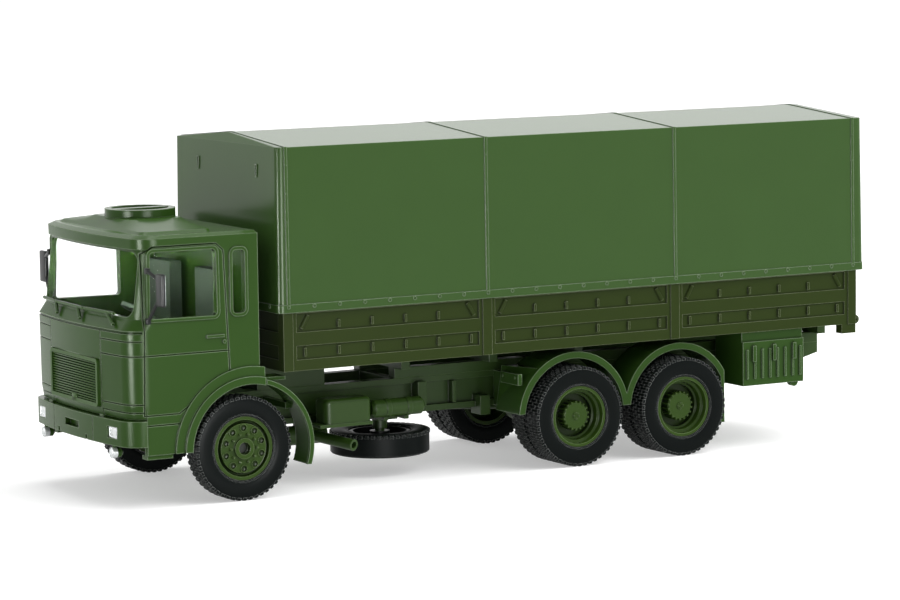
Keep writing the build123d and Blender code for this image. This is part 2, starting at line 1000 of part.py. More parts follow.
# Grille: framed plate with horizontal slats and a clip at the bottom, set in the front panel
def grille():
    bottom = cab_base + grille_lift + fit_gap
    top = bottom + grille_height - 2 * fit_gap
    half = grille_width / 2 - fit_gap
    face = front_end_x - grille_setback
    floor = face - grille_recess
    outline = Pos(0, (bottom + top) / 2) * RectangleRounded(2 * half, top - bottom, grille_corner)
    field_half = half - grille_frame
    field_bottom = bottom + grille_frame
    field_top = top - grille_frame
    plate = front_plate(outline, face - grille_depth, face)
    plate -= block(floor, face, -field_half, field_half, field_bottom, field_top)
    pitch = (field_top - field_bottom) / slat_count
    bars = []
    for index in range(slat_count):
        middle = field_bottom + (index + 0.5) * pitch
        reach = slat_share * pitch / 2
        bars.append(
            block(
                floor,
                face - slat_setback,
                -field_half,
                field_half,
                middle - reach,
                middle + reach,
            )
        )
    bars.append(block(floor, face, -grille_clip, grille_clip, bottom, field_bottom + grille_frame))
    return plate + bars


# Bumper wrapped round the front corners, on two brackets from the frame
def bumper():
    half = cab_half + bumper_proud
    outside = cab_section(0, front_end_x, half, front_axle_x, cab_corner_radius)
    inside = cab_section(
        0,
        front_end_x - bumper_thickness,
        half - bumper_thickness,
        front_axle_x - 1,
        cab_corner_radius - bumper_thickness,
    )
    keep_length = front_overhang - bumper_end_offset + 1
    keep = Pos(front_end_x + 1 - keep_length / 2, 0) * Rectangle(keep_length, 2 * cab_width)
    strip = flat_plate((outside - inside) & keep, bumper_bottom, bumper_top)
    pad_face = front_face_x(pad_y, bumper_thickness / 2)
    pad = block(
        pad_face - pad_length / 2,
        pad_face + pad_length / 2,
        pad_y - pad_width / 2,
        pad_y + pad_width / 2,
        bumper_top - pad_height,
        bumper_top + pad_height,
    )
    bracket = block(
        frame_front_x,
        front_end_x - bumper_thickness,
        rail_inner,
        rail_outer,
        bumper_bottom + bracket_inset,
        bumper_top - bracket_inset,
    )
    solid = strip + both_sides(pad + bracket)
    middle_z = (bumper_bottom + bumper_top) / 2
    slot = block(
        front_end_x - slot_depth,
        front_end_x,
        -tow_slot_width / 2,
        tow_slot_width / 2,
        middle_z - tow_slot_height / 2,
        middle_z + tow_slot_height / 2,
    )
    notch = block(
        front_end_x - 2 * bumper_thickness,
        front_end_x,
        notch_y - notch_width / 2,
        notch_y + notch_width / 2,
        bumper_bottom,
        bumper_bottom + notch_height,
    )
    seam = block(
        front_face_x(bumper_seam_y, groove_depth),
        front_end_x,
        bumper_seam_y - groove_width / 2,
        bumper_seam_y + groove_width / 2,
        bumper_bottom,
        bumper_top,
    )
    solid = solid - slot - both_sides(notch + seam)
    for side in (-1, 1):
        solid -= headlamp_block(side, 0.0)
    return solid


def headlamp_block(side, clearance):
    lamp_z = (bumper_bottom + bumper_top) / 2
    lens_front = front_face_x(headlamp_y, lens_setback)
    half_width = headlamp_width / 2 - clearance
    half_height = headlamp_height / 2 - clearance
    reach = 0.0 if clearance else 1.0
    return block(
        lens_front - bumper_thickness - reach,
        lens_front + reach,
        side * headlamp_y - half_width,
        side * headlamp_y + half_width,
        lamp_z - half_height,
        lamp_z + half_height,
    )


def headlamps():
    return Compound([headlamp_block(side, fit_gap) for side in (-1, 1)])


def fog_lamps():
    lamp_z = bumper_bottom - fog_lamp_gap - fog_lamp_radius
    face = front_face_x(fog_lamp_y, fog_lamp_setback)
    body = rod((face - fog_lamp_length, fog_lamp_y, lamp_z), (face, fog_lamp_y, lamp_z), fog_lamp_radius)
    body = chamfer(body.edges().sort_by(Axis.X)[0], fog_lamp_bevel)
    stalk_x = face - fog_stalk_setback
    stalk = rod((stalk_x, fog_lamp_y, lamp_z), (stalk_x, fog_lamp_y, bumper_bottom), fog_stalk_radius)
    lamp = body + stalk
    return Compound([lamp, mirrored(lamp)])


# Cab inside: floor with two seats, dashboard and steering wheel
def cab_interior():
    inset = cab_wall + fit_gap
    floor_section = cab_section(
        0,
        front_end_x - cab_levels["skirt"][1] - inset - floor_front_gap,
        cab_half - inset,
        cab_rear_x + inset,
        cab_corner_radius - inset,
    )
    inside = flat_plate(floor_section, cab_floor_z, cab_floor_top)
    cushion_x = front_axle_x + cushion_offset
    rest_x = front_axle_x - rest_setback
    half = seat_width / 2
    cushion = block(
        cushion_x,
        cushion_x + seat_length,
        seat_y - half,
        seat_y + half,
        cab_floor_top,
        screen_bottom - seat_drop,
    )
    rest = block(
        rest_x,
        rest_x + rest_thickness,
        seat_y - half,
        seat_y + half,
        cab_floor_top,
        screen_bottom + rest_rise,
    )
    return inside + both_sides(cushion + rest)


def dash_front_x():
    corner_y = cab_half - cab_corner_radius
    return front_face_x(corner_y, cab_levels["crease"][1]) - cab_wall - dash_gap


def dash_top_z():
    return cab_base + cab_levels["crease"][0] - dash_drop


def dashboard():
    top = dash_top_z()
    front = dash_front_x()
    half = cab_half - cab_wall - dash_side_gap
    profile = Polygon(
        (front, cab_floor_top),
        (front, top),
        (front - dash_hood, top + dash_hood_rise),
        (front - dash_lip, top - dash_lip_drop),
        (front - dash_foot, cab_floor_top),
        align=None,
    )
    return side_plate(profile, -half, half)


def steering_wheel():
    foot = Vector(dash_front_x() - column_setback, seat_y, dash_top_z() - column_drop)
    tilt = Vector(-sin(radians(column_tilt)), 0, cos(radians(column_tilt)))
    base = foot + tilt * (column_radius / 2 + fit_gap)
    hub = foot + tilt * column_length
    wheel_plane = Plane(origin=hub, z_dir=tilt, x_dir=(0, 1, 0))
    inner = wheel_rim_radius - wheel_rim_width
    hoop = RegularPolygon(wheel_rim_radius, wheel_sides) - RegularPolygon(inner, wheel_sides)
    spoke = Rectangle(2 * inner + wheel_rim_width, 2 * column_radius)
    wheel = extrude(wheel_plane * (hoop + spoke), amount=wheel_rim_width)
    return wheel + rod(base, hub, column_radius)


# Roof hatch, wipers and mirrors
def roof_hatch():
    hatch_x = front_axle_x + hatch_offset
    low = cab_base + roof_levels[0][0]
    top = cab_base + roof_levels[-1][0] + hatch_rise
    inner = hatch_radius - hatch_rim
    disc = flat_plate(Pos(hatch_x, 0) * Circle(hatch_radius), low, top)
    well = Pos(hatch_x, 0) * (Circle(inner) - Rectangle(2 * inner, hatch_bar))
    disc -= flat_plate(well, top - hatch_recess, top)
    return disc - (cab_form(0.0, 0.0) + roof_panel())


def wipers():
    crease_lift, crease_setback = cab_levels["crease"][:2]
    ledge_lift, ledge_setback = cab_levels["ledge"][:2]
    pivot_z = cab_base + (crease_lift + ledge_lift) / 2
    pivot_setback = (crease_setback + ledge_setback) / 2
    blade_z = screen_bottom + wiper_blade_lift
    arms = []
    for pivot_y, *blade_places in wiper_places:
        pivot = (front_face_x(pivot_y, pivot_setback) + wiper_gap, pivot_y, pivot_z)
        joint, near, far = [
            (front_face_x(y, ledge_setback) + wiper_gap, y, blade_z) for y in blade_places
        ]
        arms.append(rod(pivot, joint, wiper_radius) + rod(near, far, wiper_radius))
    return Compound(arms)


def mirror_left():
    head_x = front_axle_x + mirror_offset
    head_z = cab_base + mirror_lift
    foot_x = front_axle_x + mirror_foot_offset
    foot_y = cab_half + mirror_foot_gap
    arm_y = mirror_y - mirror_arm_inset
    mirror_head = Pos(head_x, mirror_y, head_z) * Box(mirror_depth, mirror_width, mirror_height)
    upper_foot = (foot_x, foot_y, cab_base + mirror_foot_high)
    lower_foot = (foot_x, foot_y, cab_base + mirror_foot_low)
    upper = rod(upper_foot, (head_x, arm_y, head_z + mirror_arm_spread), mirror_arm_radius)
    lower = rod(lower_foot, (head_x, arm_y, head_z - mirror_arm_spread), mirror_arm_radius)
    return mirror_head + upper + lower


# Rear half of each front mudguard with a level shelf behind the cab, stayed from the frame
def front_mudguard_left():
    split_x = flare_tail_x - front_guard_gap
    low_z = axle_z - front_guard_end
    inner = front_guard_radius - front_guard_thickness
    band = ring(arch_x, arch_z, front_guard_radius, inner)
    lip = ring(arch_x, arch_z, front_guard_radius, inner - front_guard_lip)
    keep = Polygon(
        (split_x, low_z),
        (split_x, arch_z + 2 * front_guard_radius),
        (arch_x - 2 * front_guard_radius, arch_z + 2 * front_guard_radius),
        (arch_x - 2 * front_guard_radius, low_z),
        align=None,
    )
    edge_y = cab_half + flare_proud
    guard = side_plate(band & keep, edge_y - front_guard_width, edge_y)
    guard += side_plate(lip & keep, edge_y - front_guard_lip_width, edge_y)
    shelf_top = arch_z + front_guard_radius - front_shelf_drop
    guard += block(
        split_x - front_shelf_length,
        split_x,
        edge_y - front_guard_width,
        edge_y - front_shelf_setback,
        shelf_top - front_guard_thickness,
        shelf_top,
    )
    stay_x = front_axle_x - front_stay_offset
    stay_z = axle_z + front_stay_lift
    stay = block(
        stay_x - stay_half,
        stay_x + stay_half,
        rail_outer,
        edge_y - front_stay_reach,
        stay_z - stay_half,
        stay_z + stay_half,
    )
    return guard + stay


# Rear mudguard over both bogie wheels, meeting in a V between them, with a thicker outer lip
def rear_mudguard_left():
    front_face = middle_axle_x + guard_radius
    low_z = axle_z + guard_front_lift
    nose_z = axle_z + guard_radius * guard_nose_share
    flap_x = rear_axle_x - guard_flap_offset
    flap_bottom = axle_z - guard_flap_end
    tail_z = axle_z + guard_tail_lift
    top_z = axle_z + 2 * guard_radius
    tail = Polygon(
        (flap_x - 1, flap_bottom - 1),
        (flap_x - 1, tail_z),
        (rear_axle_x, tail_z),
        (rear_axle_x, flap_bottom - 1),
        align=None,
    )
    outline = Pos(middle_axle_x, axle_z) * Circle(guard_radius)
    outline += Pos(rear_axle_x, axle_z) * Circle(guard_radius)
    outline += tail
    keep = Polygon(
        (front_face + 1, low_z),
        (front_face + 1, top_z),
        (flap_x, top_z),
        (flap_x, flap_bottom),
        (rear_axle_x - 1, flap_bottom),
        (rear_axle_x - 1, low_z),
        align=None,
    )
    arch = outline & keep
    guard = side_plate(arch - guard_wells(guard_thickness), guard_inner, guard_outer)
    guard += side_plate(arch - guard_wells(guard_lip_thickness), guard_outer - guard_lip_width, guard_outer)
    guard += guard_nose_panel(low_z, nose_z) - side_plate(guard_wells(guard_thickness), 0, bed_width)
    plate_top = nose_z - guard_plate_drop
    plate = block(
        front_face - guard_nose,
        front_face + guard_plate_proud - guard_nose / 2,
        guard_inner + guard_tuck,
        guard_outer - guard_tuck,
        plate_top - guard_plate_height,
        plate_top,
    )
    apron = block(
        front_face - apron_setback,
        front_face - apron_setback + apron_thickness,
        rail_outer,
        guard_inner + apron_thickness,
        frame_bottom,
        frame_top,
    )
    return guard + plate + apron


# Front panel of the guard, upright at its inner end and turning into the round arch at its outer end
def guard_nose_panel(low_z, nose_z):
    front_face = middle_axle_x + guard_radius
    arch_low, arch_high = [
        middle_axle_x + (guard_radius**2 - (z - axle_z) ** 2) ** 0.5 for z in (low_z, nose_z)
    ]
    ends = (
        (guard_inner, front_face, front_face - guard_nose),
        (guard_outer - guard_lip_width, arch_low, arch_high),
    )
    sections = []
    for y, low_x, high_x in ends:
        panel = Polygon(
            (low_x, low_z),
            (high_x, nose_z),
            (arch_high - guard_thickness, nose_z),
            (arch_low - guard_thickness, low_z),
            align=None,
        )
        sections.append(Plane.XZ.offset(-y) * panel)
    return loft(sections, ruled=True)


def guard_wells(thickness):
    inner = guard_radius - thickness
    flap_inner = rear_axle_x - guard_flap_offset + guard_thickness
    beside_flap = Pos(flap_inner + guard_radius, axle_z) * Rectangle(2 * guard_radius, 4 * guard_radius)
    well = Pos(rear_axle_x, axle_z) * Circle(inner) & beside_flap
    return well + Pos(middle_axle_x, axle_z) * Circle(inner)


# Fuel tank, air tank, exhaust and spare wheel beside and under the frame
def fuel_tank():
    front = front_axle_x - tank_front_offset
    rear = front - tank_length
    bottom = frame_bottom + tank_lift
    body = block(rear, front, tank_inner, tank_outer, bottom, bottom + tank_height)
    body = fillet(body.edges().filter_by(Axis.Z), tank_corner)
    body = fillet(body.faces().sort_by(Axis.Z)[-1].edges(), tank_top_corner)
    tray_bottom = bottom - tray_thickness
    tray = block(rear, front + tray_nose, rail_outer, tank_outer + tray_proud, tray_bottom, bottom)
    return body + tray


def air_tank():
    front = front_axle_x - tank_front_offset - tank_length - air_tank_gap
    rear = front - air_tank_length
    tank_y = (tank_inner + tank_outer) / 2 + air_tank_shift
    tank_z = frame_bottom + air_tank_lift
    body = rod((rear, tank_y, tank_z), (front, tank_y, tank_z), air_tank_radius)
    tank = chamfer(body.edges().filter_by(GeomType.CIRCLE), air_tank_bevel)
    for share in tank_straps:
        strap_front = rear + share * air_tank_length + strap_width / 2
        strap_rear = strap_front - strap_width
        tank += rod(
            (strap_rear, tank_y, tank_z),
            (strap_front, tank_y, tank_z),
            air_tank_radius + strap_proud,
        )
        tank += block(strap_rear, strap_front, rail_outer, tank_y, frame_bottom, frame_bottom + strap_width)
    return tank


def exhaust():
    silencer_z = frame_bottom - silencer_drop
    front = front_axle_x - silencer_offset
    rear = front - silencer_length
    silencer_y = (rail_inner + rail_outer) / 2
    body = rod((rear, silencer_y, silencer_z), (front, silencer_y, silencer_z), silencer_radius)
    hanger = block(
        front - hanger_offset - hanger_length,
        front - hanger_offset,
        silencer_y - hanger_half,
        silencer_y + hanger_half,
        silencer_z,
        frame_bottom,
    )
    start = Vector(rear + tail_pipe_lap, silencer_y, silencer_z)
    end = Vector(rear - tail_pipe_drop, tank_outer, silencer_z - tail_pipe_drop)
    along = (end - start).normalized()
    pipe = rod(start, end, tail_pipe_radius)
    bore = rod(end - along * tail_pipe_bore_depth, end + along, tail_pipe_bore)
    return body + hanger + pipe - bore


def spare_place(shape):
    centre_z = frame_bottom - spare_drop - tyre_width / 2
    return Pos(front_axle_x - spare_offset, spare_y, centre_z) * Rot(90, 0, 0) * shape


# The spare's tread is a smooth band, with lugs along its upper shoulder alone
def spare_tyre():
    half = tyre_width / 2
    shoulder_y = half - spare_shoulder
    reach = 2 * tyre_radius
    lugs = tyre_ring() & block(-reach, reach, shoulder_y, half, -reach, reach)
    bead = RegularPolygon(rim_radius, bead_sides, major_radius=False)
    band = side_plate(Circle(spare_band_radius) - bead, -half, shoulder_y)
    return spare_place(band + lugs)


def spare_rim():
    return spare_place(mirrored(front_rim()))


def spare_carrier():
    centre_x = front_axle_x - spare_offset
    spare_top = frame_bottom - spare_drop
    plate_bottom = frame_bottom - spare_plate_thickness
    pin_bottom = spare_top - tyre_width + bead_inset + spare_pin_gap
    collar_bottom = spare_top - bead_inset + hub_proud + fit_gap
    plate = block(
        centre_x - spare_plate_half,
        centre_x + spare_plate_half,
        spare_y - spare_plate_reach,
        rail_outer,
        plate_bottom,
        frame_bottom,
    )
    pin = rod((centre_x, spare_y, pin_bottom), (centre_x, spare_y, plate_bottom), axle_radius)
    collar = rod((centre_x, spare_y, collar_bottom), (centre_x, spare_y, plate_bottom), spare_pin_collar)
    return plate + pin + collar


# Ribbed tool box hung from the bed behind the rear wheels, with latches, a hook and tail lamps
def tool_box_left():
    front = rear_axle_x - tool_box_offset
    rear = front - tool_box_length
    top = floor_bottom - tool_box_drop
    bottom = top - tool_box_height
    middle_z = (bottom + top) / 2
    box = block(rear, front, tool_box_inner, tool_box_outer, bottom, top)
    parts = [
        block(
            rear,
            front,
            tool_box_inner,
            tool_box_outer - box_plate_inset,
            top,
            top + box_plate_height,
        )
    ]
    pitch = tool_box_length / tool_box_ribs
    for index in range(tool_box_ribs):
        rib_x = rear + (index + 0.5) * pitch
        parts.append(
            block(
                rib_x - rib_width / 2,
                rib_x + rib_width / 2,
                tool_box_outer - rib_proud,
                tool_box_outer + rib_proud,
                bottom + rib_bottom_gap,
                top - rib_top_gap,
            )
        )
    for share in box_latches:
        latch_x = rear + share * tool_box_length
        parts.append(
            block(
                latch_x - latch_width / 2,
                latch_x + latch_width / 2,
                tool_box_outer - latch_proud,
                tool_box_outer + latch_proud,
                top - latch_gap - latch_height,
                top - latch_gap,
            )
        )
    for share in box_hangers:
        hanger_x = rear + share * tool_box_length
        parts.append(
            block(
                hanger_x - hanger_half,
                hanger_x + hanger_half,
                tool_box_inner + box_plate_inset,
                tool_box_outer - tool_box_depth / 2,
                top,
                floor_bottom,
            )
        )
    for share in lamp_shares:
        lamp_y = tool_box_inner + share * tool_box_depth
        lamp_end = (rear - tail_lamp_length, lamp_y, middle_z)
        parts.append(rod((rear, lamp_y, middle_z), lamp_end, tail_lamp_radius))
    hook_x = rear + hook_share * tool_box_length
    hook_y = tool_box_outer - hook_radius
    hook = rod((hook_x, hook_y - hook_half, bottom), (hook_x, hook_y + hook_half, bottom), hook_radius)
    return box + parts + hook


# Tow coupling on the last cross member, with an upright pin hole
def tow_coupling():
    middle_z = frame_top - (frame_height - rail_taper_rise) / 2
    low = middle_z - tow_height / 2
    high = middle_z + tow_height / 2
    bore_x = rear_end_x + tow_wall + tow_bore_radius
    jaw = block(rear_end_x, frame_rear_x + tow_recess, -tow_width / 2, tow_width / 2, low, high)
    return jaw - rod((bore_x, 0, low), (bore_x, 0, high), tow_bore_radius)


# Cargo bed: floor, runners and bearers under it, ring of drop sides, moulded cover
def bed_floor():
    inset = board_thickness + fit_gap
    half = bed_half - inset
    return block(
        bed_rear_x + inset,
        bed_front_x - inset,
        -half,
        half,
        floor_bottom,
        floor_bottom + floor_thickness,
    )


def bed_subframe():
    runner_front = front_axle_x - runner_front_offset
    runner_top = frame_top + runner_height
    runner = block(frame_rear_x, runner_front, rail_inner, rail_outer, frame_top, runner_top)
    bearer_half = guard_inner - side_clearance
    first_x = runner_front - bearer_width / 2
    last_x = frame_rear_x + bearer_width / 2
    pitch = (first_x - last_x) / (bearer_count - 1)
    bearers = []
    for index in range(bearer_count):
        bearer_x = first_x - index * pitch
        bearers.append(
            block(
                bearer_x - bearer_width / 2,
                bearer_x + bearer_width / 2,
                -bearer_half,
                bearer_half,
                runner_top,
                floor_bottom,
            )
        )
    clip_block = block(
        front_axle_x - clip_block_rear,
        front_axle_x - clip_block_front,
        -rail_outer,
        rail_outer,
        frame_top,
        floor_bottom,
    )
    return Compound([both_sides(runner) + bearers, clip_block])


def post_places():
    pitch = (bed_length - post_width) / bay_count
    return [bed_front_x - post_width / 2 - index * pitch for index in range(bay_count + 1)]


# Clips and levers of one bay between two posts, on the left side
def bay_fittings(front_post, rear_post):
    pitch = (front_post - rear_post) / clips_per_bay
    deep = bed_half - 2 * board_relief
    fittings = []
    for index in range(clips_per_bay):
        clip_x = front_post - (index + 0.5) * pitch
        low, high = low_clip
        fittings.append(
            block(
                clip_x - clip_width / 2,
                clip_x + clip_width / 2,
                deep,
                bed_half + clip_proud,
                floor_bottom + low,
                floor_bottom + high,
            )
        )
        if 0 < index < clips_per_bay - 1:
            low, high = high_clip
            fittings.append(
                block(
                    clip_x - clip_width / 2,
                    clip_x + clip_width / 2,
                    deep,
                    bed_half + clip_proud,
                    floor_bottom + low,
                    floor_bottom + high,
                )
            )
            continue
        lean = lever_lean if index == 0 else -lever_lean
        low, high = lever_span
        lever_y = bed_half - board_relief
        foot = (clip_x + lean, lever_y, floor_bottom + low)
        tip = (clip_x - lean, lever_y, floor_bottom + high)
        fittings.append(rod(foot, tip, board_relief + clip_proud))
    return fittings


def drop_sides():
    outside = Pos(bed_mid_x, 0) * Rectangle(bed_length, bed_width)
    inner_length = bed_length - 2 * board_thickness
    inner_width = bed_width - 2 * board_thickness
    opening = Pos(bed_mid_x, 0) * Rectangle(inner_length, inner_width)
    sides = flat_plate(outside - opening, floor_bottom, cover_bottom)
    lip_inset = cover_wall + fit_gap
    lip_length = cover_length - 2 * lip_inset
    lip_width = cover_width - 2 * lip_inset
    lip = Pos(cover_mid_x, 0) * RectangleRounded(lip_length, lip_width, cover_corner / 2) & outside
    sides += flat_plate(lip - opening, cover_bottom, cover_bottom + cover_lip)
    posts = post_places()
    pockets = []
    added = []
    for front_post, rear_post in zip(posts, posts[1:]):
        for low, high in planks:
            pockets.append(
                block(
                    rear_post + post_width / 2 + clip_margin,
                    front_post - post_width / 2 - clip_margin,
                    bed_half - board_relief,
                    bed_half + 1,
                    floor_bottom + low,
                    floor_bottom + high,
                )
            )
        added += bay_fittings(front_post, rear_post)
    for post_x in posts:
        added.append(
            block(
                post_x - post_width / 2,
                post_x + post_width / 2,
                bed_half - board_thickness / 2,
                bed_half + post_proud,
                floor_bottom,
                cover_bottom,
            )
        )
    added.append(
        block(
            bed_rear_x,
            bed_rear_x + corner_foot_length,
            bed_half - board_thickness,
            bed_half,
            floor_bottom - corner_foot_height,
            floor_bottom + board_relief,
        )
    )
    for low, high in planks:
        tail_pocket = block(
            bed_rear_x - 1,
            bed_rear_x + board_relief,
            -bed_half + board_thickness,
            bed_half - board_thickness,
            floor_bottom + low,
            floor_bottom + high,
        )
        pockets.append(tail_pocket)
        pockets.append(Pos(bed_front_x - bed_rear_x - board_relief + 1, 0, 0) * tail_pocket)
    sides = sides - pockets - [mirrored(pocket) for pocket in pockets]
    sides = sides + added + [mirrored(piece) for piece in added]
    hinge_z = floor_bottom + hinge_tube_radius
    hinge = cross_rod(bed_rear_x, hinge_z, bed_half, hinge_tube_radius)
    return sides + hinge - cross_rod(bed_rear_x, hinge_z, bed_half, hinge_bore_radius)


def cover_section(z, inset, end_inset, side_inset, corner):
    length = cover_length - 2 * inset - 2 * end_inset
    width = cover_width - 2 * inset - 2 * side_inset
    return Pos(cover_mid_x, 0, z) * RectangleRounded(length, width, corner)


def cover_form(inset, drop, extra_depth):
    ridge_inset = cover_width / 2 - inset - cover_ridge_half
    corner = cover_corner - inset / 2
    ridge_z = cover_eave + cover_ridge_rise
    sections = [
        cover_section(cover_bottom - extra_depth, inset, 0.0, 0.0, corner),
        cover_section(cover_eave - drop, inset, cover_draft, cover_draft, corner),
        cover_section(ridge_z - drop, inset, cover_hip, ridge_inset, cover_ridge_half * ridge_rounding),
    ]
    return loft(sections, ruled=True)


# Cover with a proud hem and a seam over every post, across the sides and the roof
def canvas_cover():
    grown = cover_form(-seam_proud, -seam_proud, 0.0)
    hem = block(
        rear_end_x - 1,
        cover_front_x + 1,
        -cover_width,
        cover_width,
        cover_bottom,
        cover_bottom + hem_height,
    )
    bands = [hem]
    for post_x in post_places():
        bands.append(
            block(
                post_x - seam_width / 2,
                post_x + seam_width / 2,
                -cover_width,
                cover_width,
                cover_bottom,
                cover_eave + 2 * cover_ridge_rise,
            )
        )
    outside = cover_form(0.0, 0.0, 0.0)
    for band in bands:
        outside += grown & band
    return outside - cover_form(cover_wall, cover_wall, cover_lip)


# Every node of the model, one file each
def model_nodes():
    skin = glass_skin()
    mudguard = front_mudguard_left()
    rear_guard = rear_mudguard_left()
    mirror_arm = mirror_left()
    tool_box = tool_box_left()
    nodes = {
        "chassis_frame": chassis_frame(),
        "engine_block": engine_block(),
        "front_axle_beam": front_axle_beam(),
        "middle_axle_housing": axle_housing(middle_axle_x),
        "rear_axle_housing": axle_housing(rear_axle_x),
        "bogie_springs": bogie_springs(),
        "prop_shafts": prop_shafts(),
        "cab_shell": cab_shell(),
        "windscreen": windscreen(skin),
        "side_windows": side_windows(skin),
        "grille": grille(),
        "bumper": bumper(),
        "headlamps": headlamps(),
        "fog_lamps": fog_lamps(),
        "cab_interior": cab_interior(),
        "dashboard": dashboard(),
        "steering_wheel": steering_wheel(),
        "roof_hatch": roof_hatch(),
        "wipers": wipers(),
        "mirror_left": mirror_arm,
        "mirror_right": mirrored(mirror_arm),
        "front_mudguard_left": mudguard,
        "front_mudguard_right": mirrored(mudguard),
        "rear_mudguard_left": rear_guard,
        "rear_mudguard_right": mirrored(rear_guard),
        "fuel_tank": fuel_tank(),
        "air_tank": air_tank(),
        "exhaust": exhaust(),
        "spare_tyre": spare_tyre(),
        "spare_rim": spare_rim(),
        "spare_carrier": spare_carrier(),
        "tool_box_left": tool_box,
        "tool_box_right": mirrored(tool_box),
        "tow_coupling": tow_coupling(),
        "bed_floor": bed_floor(),
        "bed_subframe": bed_subframe(),
        "drop_sides": drop_sides(),
        "canvas_cover": canvas_cover(),
    }
    nodes.update(front_wheelset())
    nodes.update(rear_wheelset("middle", middle_axle_x))
    nodes.update(rear_wheelset("rear", rear_axle_x))
    return nodes


os.makedirs("parts", exist_ok=True)
for node_name, node_shape in model_nodes().items():
    export_step(node_shape, f"parts/{node_name}.step")
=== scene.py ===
import json
import math

import bpy
from mathutils import Matrix, Vector


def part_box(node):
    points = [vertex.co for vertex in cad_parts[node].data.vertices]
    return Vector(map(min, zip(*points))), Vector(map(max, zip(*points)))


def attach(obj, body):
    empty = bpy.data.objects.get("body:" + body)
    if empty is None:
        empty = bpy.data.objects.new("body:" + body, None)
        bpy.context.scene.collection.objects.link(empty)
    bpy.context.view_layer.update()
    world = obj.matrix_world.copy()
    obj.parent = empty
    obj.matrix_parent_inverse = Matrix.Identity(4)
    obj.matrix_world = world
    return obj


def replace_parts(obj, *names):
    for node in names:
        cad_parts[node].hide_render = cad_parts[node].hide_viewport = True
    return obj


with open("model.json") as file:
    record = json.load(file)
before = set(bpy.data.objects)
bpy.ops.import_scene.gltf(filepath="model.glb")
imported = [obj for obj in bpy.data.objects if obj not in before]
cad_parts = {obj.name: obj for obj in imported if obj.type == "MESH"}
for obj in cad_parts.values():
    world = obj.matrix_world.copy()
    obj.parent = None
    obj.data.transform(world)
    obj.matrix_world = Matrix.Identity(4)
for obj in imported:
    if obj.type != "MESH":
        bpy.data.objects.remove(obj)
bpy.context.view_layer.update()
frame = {"nodes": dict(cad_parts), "record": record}
nodes = frame["nodes"]
scene = bpy.context.scene
mm = 0.001               # values are in millimetres, apart from the lamps and the floor, in metres
print("frame loaded:", len(nodes), "nodes")


# the photograph's view
cameraValues = {
    "place": (223.65, 395.47, 71.44),
    "target": (0.89, 0.0, 20.32),
    "roll": -0.01345,
    "lens": 144.3,
    "sensor": 36.0,
    "near": 10.0,
    "far": 50000.0,
}


def makeCamera():
    v = cameraValues
    place = Vector(v["place"]) * mm
    ahead = (Vector(v["target"]) * mm - place).normalized()
    right = ahead.cross(Vector((0, 0, 1))).normalized()
    up = right.cross(ahead)
    rolledRight = math.cos(v["roll"]) * right + math.sin(v["roll"]) * up
    rolledUp = math.cos(v["roll"]) * up - math.sin(v["roll"]) * right
    turn = Matrix((rolledRight, rolledUp, -ahead)).transposed()
    data = bpy.data.cameras.new("studioCamera")
    data.lens = v["lens"]
    data.sensor_width = v["sensor"]
    data.clip_start = v["near"] * mm
    data.clip_end = v["far"] * mm
    camera = bpy.data.objects.new("studioCamera", data)
    camera.matrix_world = Matrix.Translation(place) @ turn.to_4x4()
    scene.collection.objects.link(camera)
    scene.camera = camera


# soft studio light: a broad sun through a diffuser, panels ahead and behind, a strip overhead, and low
# cards near the cab; a lamp shows as tone, as gloss or as both
sunValues = {"place": (0.0, 0.0, 1.0), "aim": (0.22, 0.12, -1.0), "strength": 1.35, "angle": 45.0}
lampTarget = (0.0, 0.0, 0.02)
lampValues = {
    "frontPanel": {"place": (0.75, -0.55, 0.3), "size": (1.2, 0.9), "power": 3.4, "shows": "both"},
    "rearPanel": {"place": (-0.95, 0.55, 0.5), "size": (1.5, 1.0), "power": 11.0, "shows": "tone"},
    "topStrip": {"place": (-0.35, 0.3, 0.7), "size": (0.9, 0.3), "power": 3.0, "shows": "both"},
    "cornerCard": {"place": (0.126, 0.039, 0.016), "size": (0.03, 0.036), "power": 0.16, "shows": "gloss"},
    "sideCard": {"place": (0.045, 0.115, 0.018), "size": (0.05, 0.036), "power": 0.14, "shows": "gloss"},
}


def addLamp(name, data, place, aim):
    lamp = bpy.data.objects.new(name, data)
    lamp.matrix_world = Matrix.Translation(place) @ aim.to_track_quat("-Z", "Y").to_matrix().to_4x4()
    scene.collection.objects.link(lamp)
    return lamp


def makeLamps():
    sun = bpy.data.lights.new("softSun", "SUN")
    sun.energy = sunValues["strength"]
    sun.angle = math.radians(sunValues["angle"])
    addLamp("softSun", sun, Vector(sunValues["place"]), Vector(sunValues["aim"]))
    for name, v in lampValues.items():
        data = bpy.data.lights.new(name, "AREA")
        data.shape = "RECTANGLE"
        data.size, data.size_y = v["size"]
        data.energy = v["power"]
        place = Vector(v["place"])
        lamp = addLamp(name, data, place, Vector(lampTarget) - place)
        lamp.visible_camera = False
        lamp.visible_diffuse = v["shows"] != "gloss"
        lamp.visible_glossy = v["shows"] != "tone"


# node helpers: a value is a number or another node's output
def calc(tree, operation, *values):
    node = tree.nodes.new("ShaderNodeMath")
    node.operation = operation
    for socket, value in zip(node.inputs, values):
        if isinstance(value, bpy.types.NodeSocket):
            tree.links.new(value, socket)
        else:
            socket.default_value = value
    return node.outputs[0]


def mapped(tree, value, span, result=(0.0, 1.0)):
    node = tree.nodes.new("ShaderNodeMapRange")
    node.inputs["From Min"].default_value, node.inputs["From Max"].default_value = span
    node.inputs["To Min"].default_value, node.inputs["To Max"].default_value = result
    tree.links.new(value, node.inputs["Value"])
    return node.outputs["Result"]


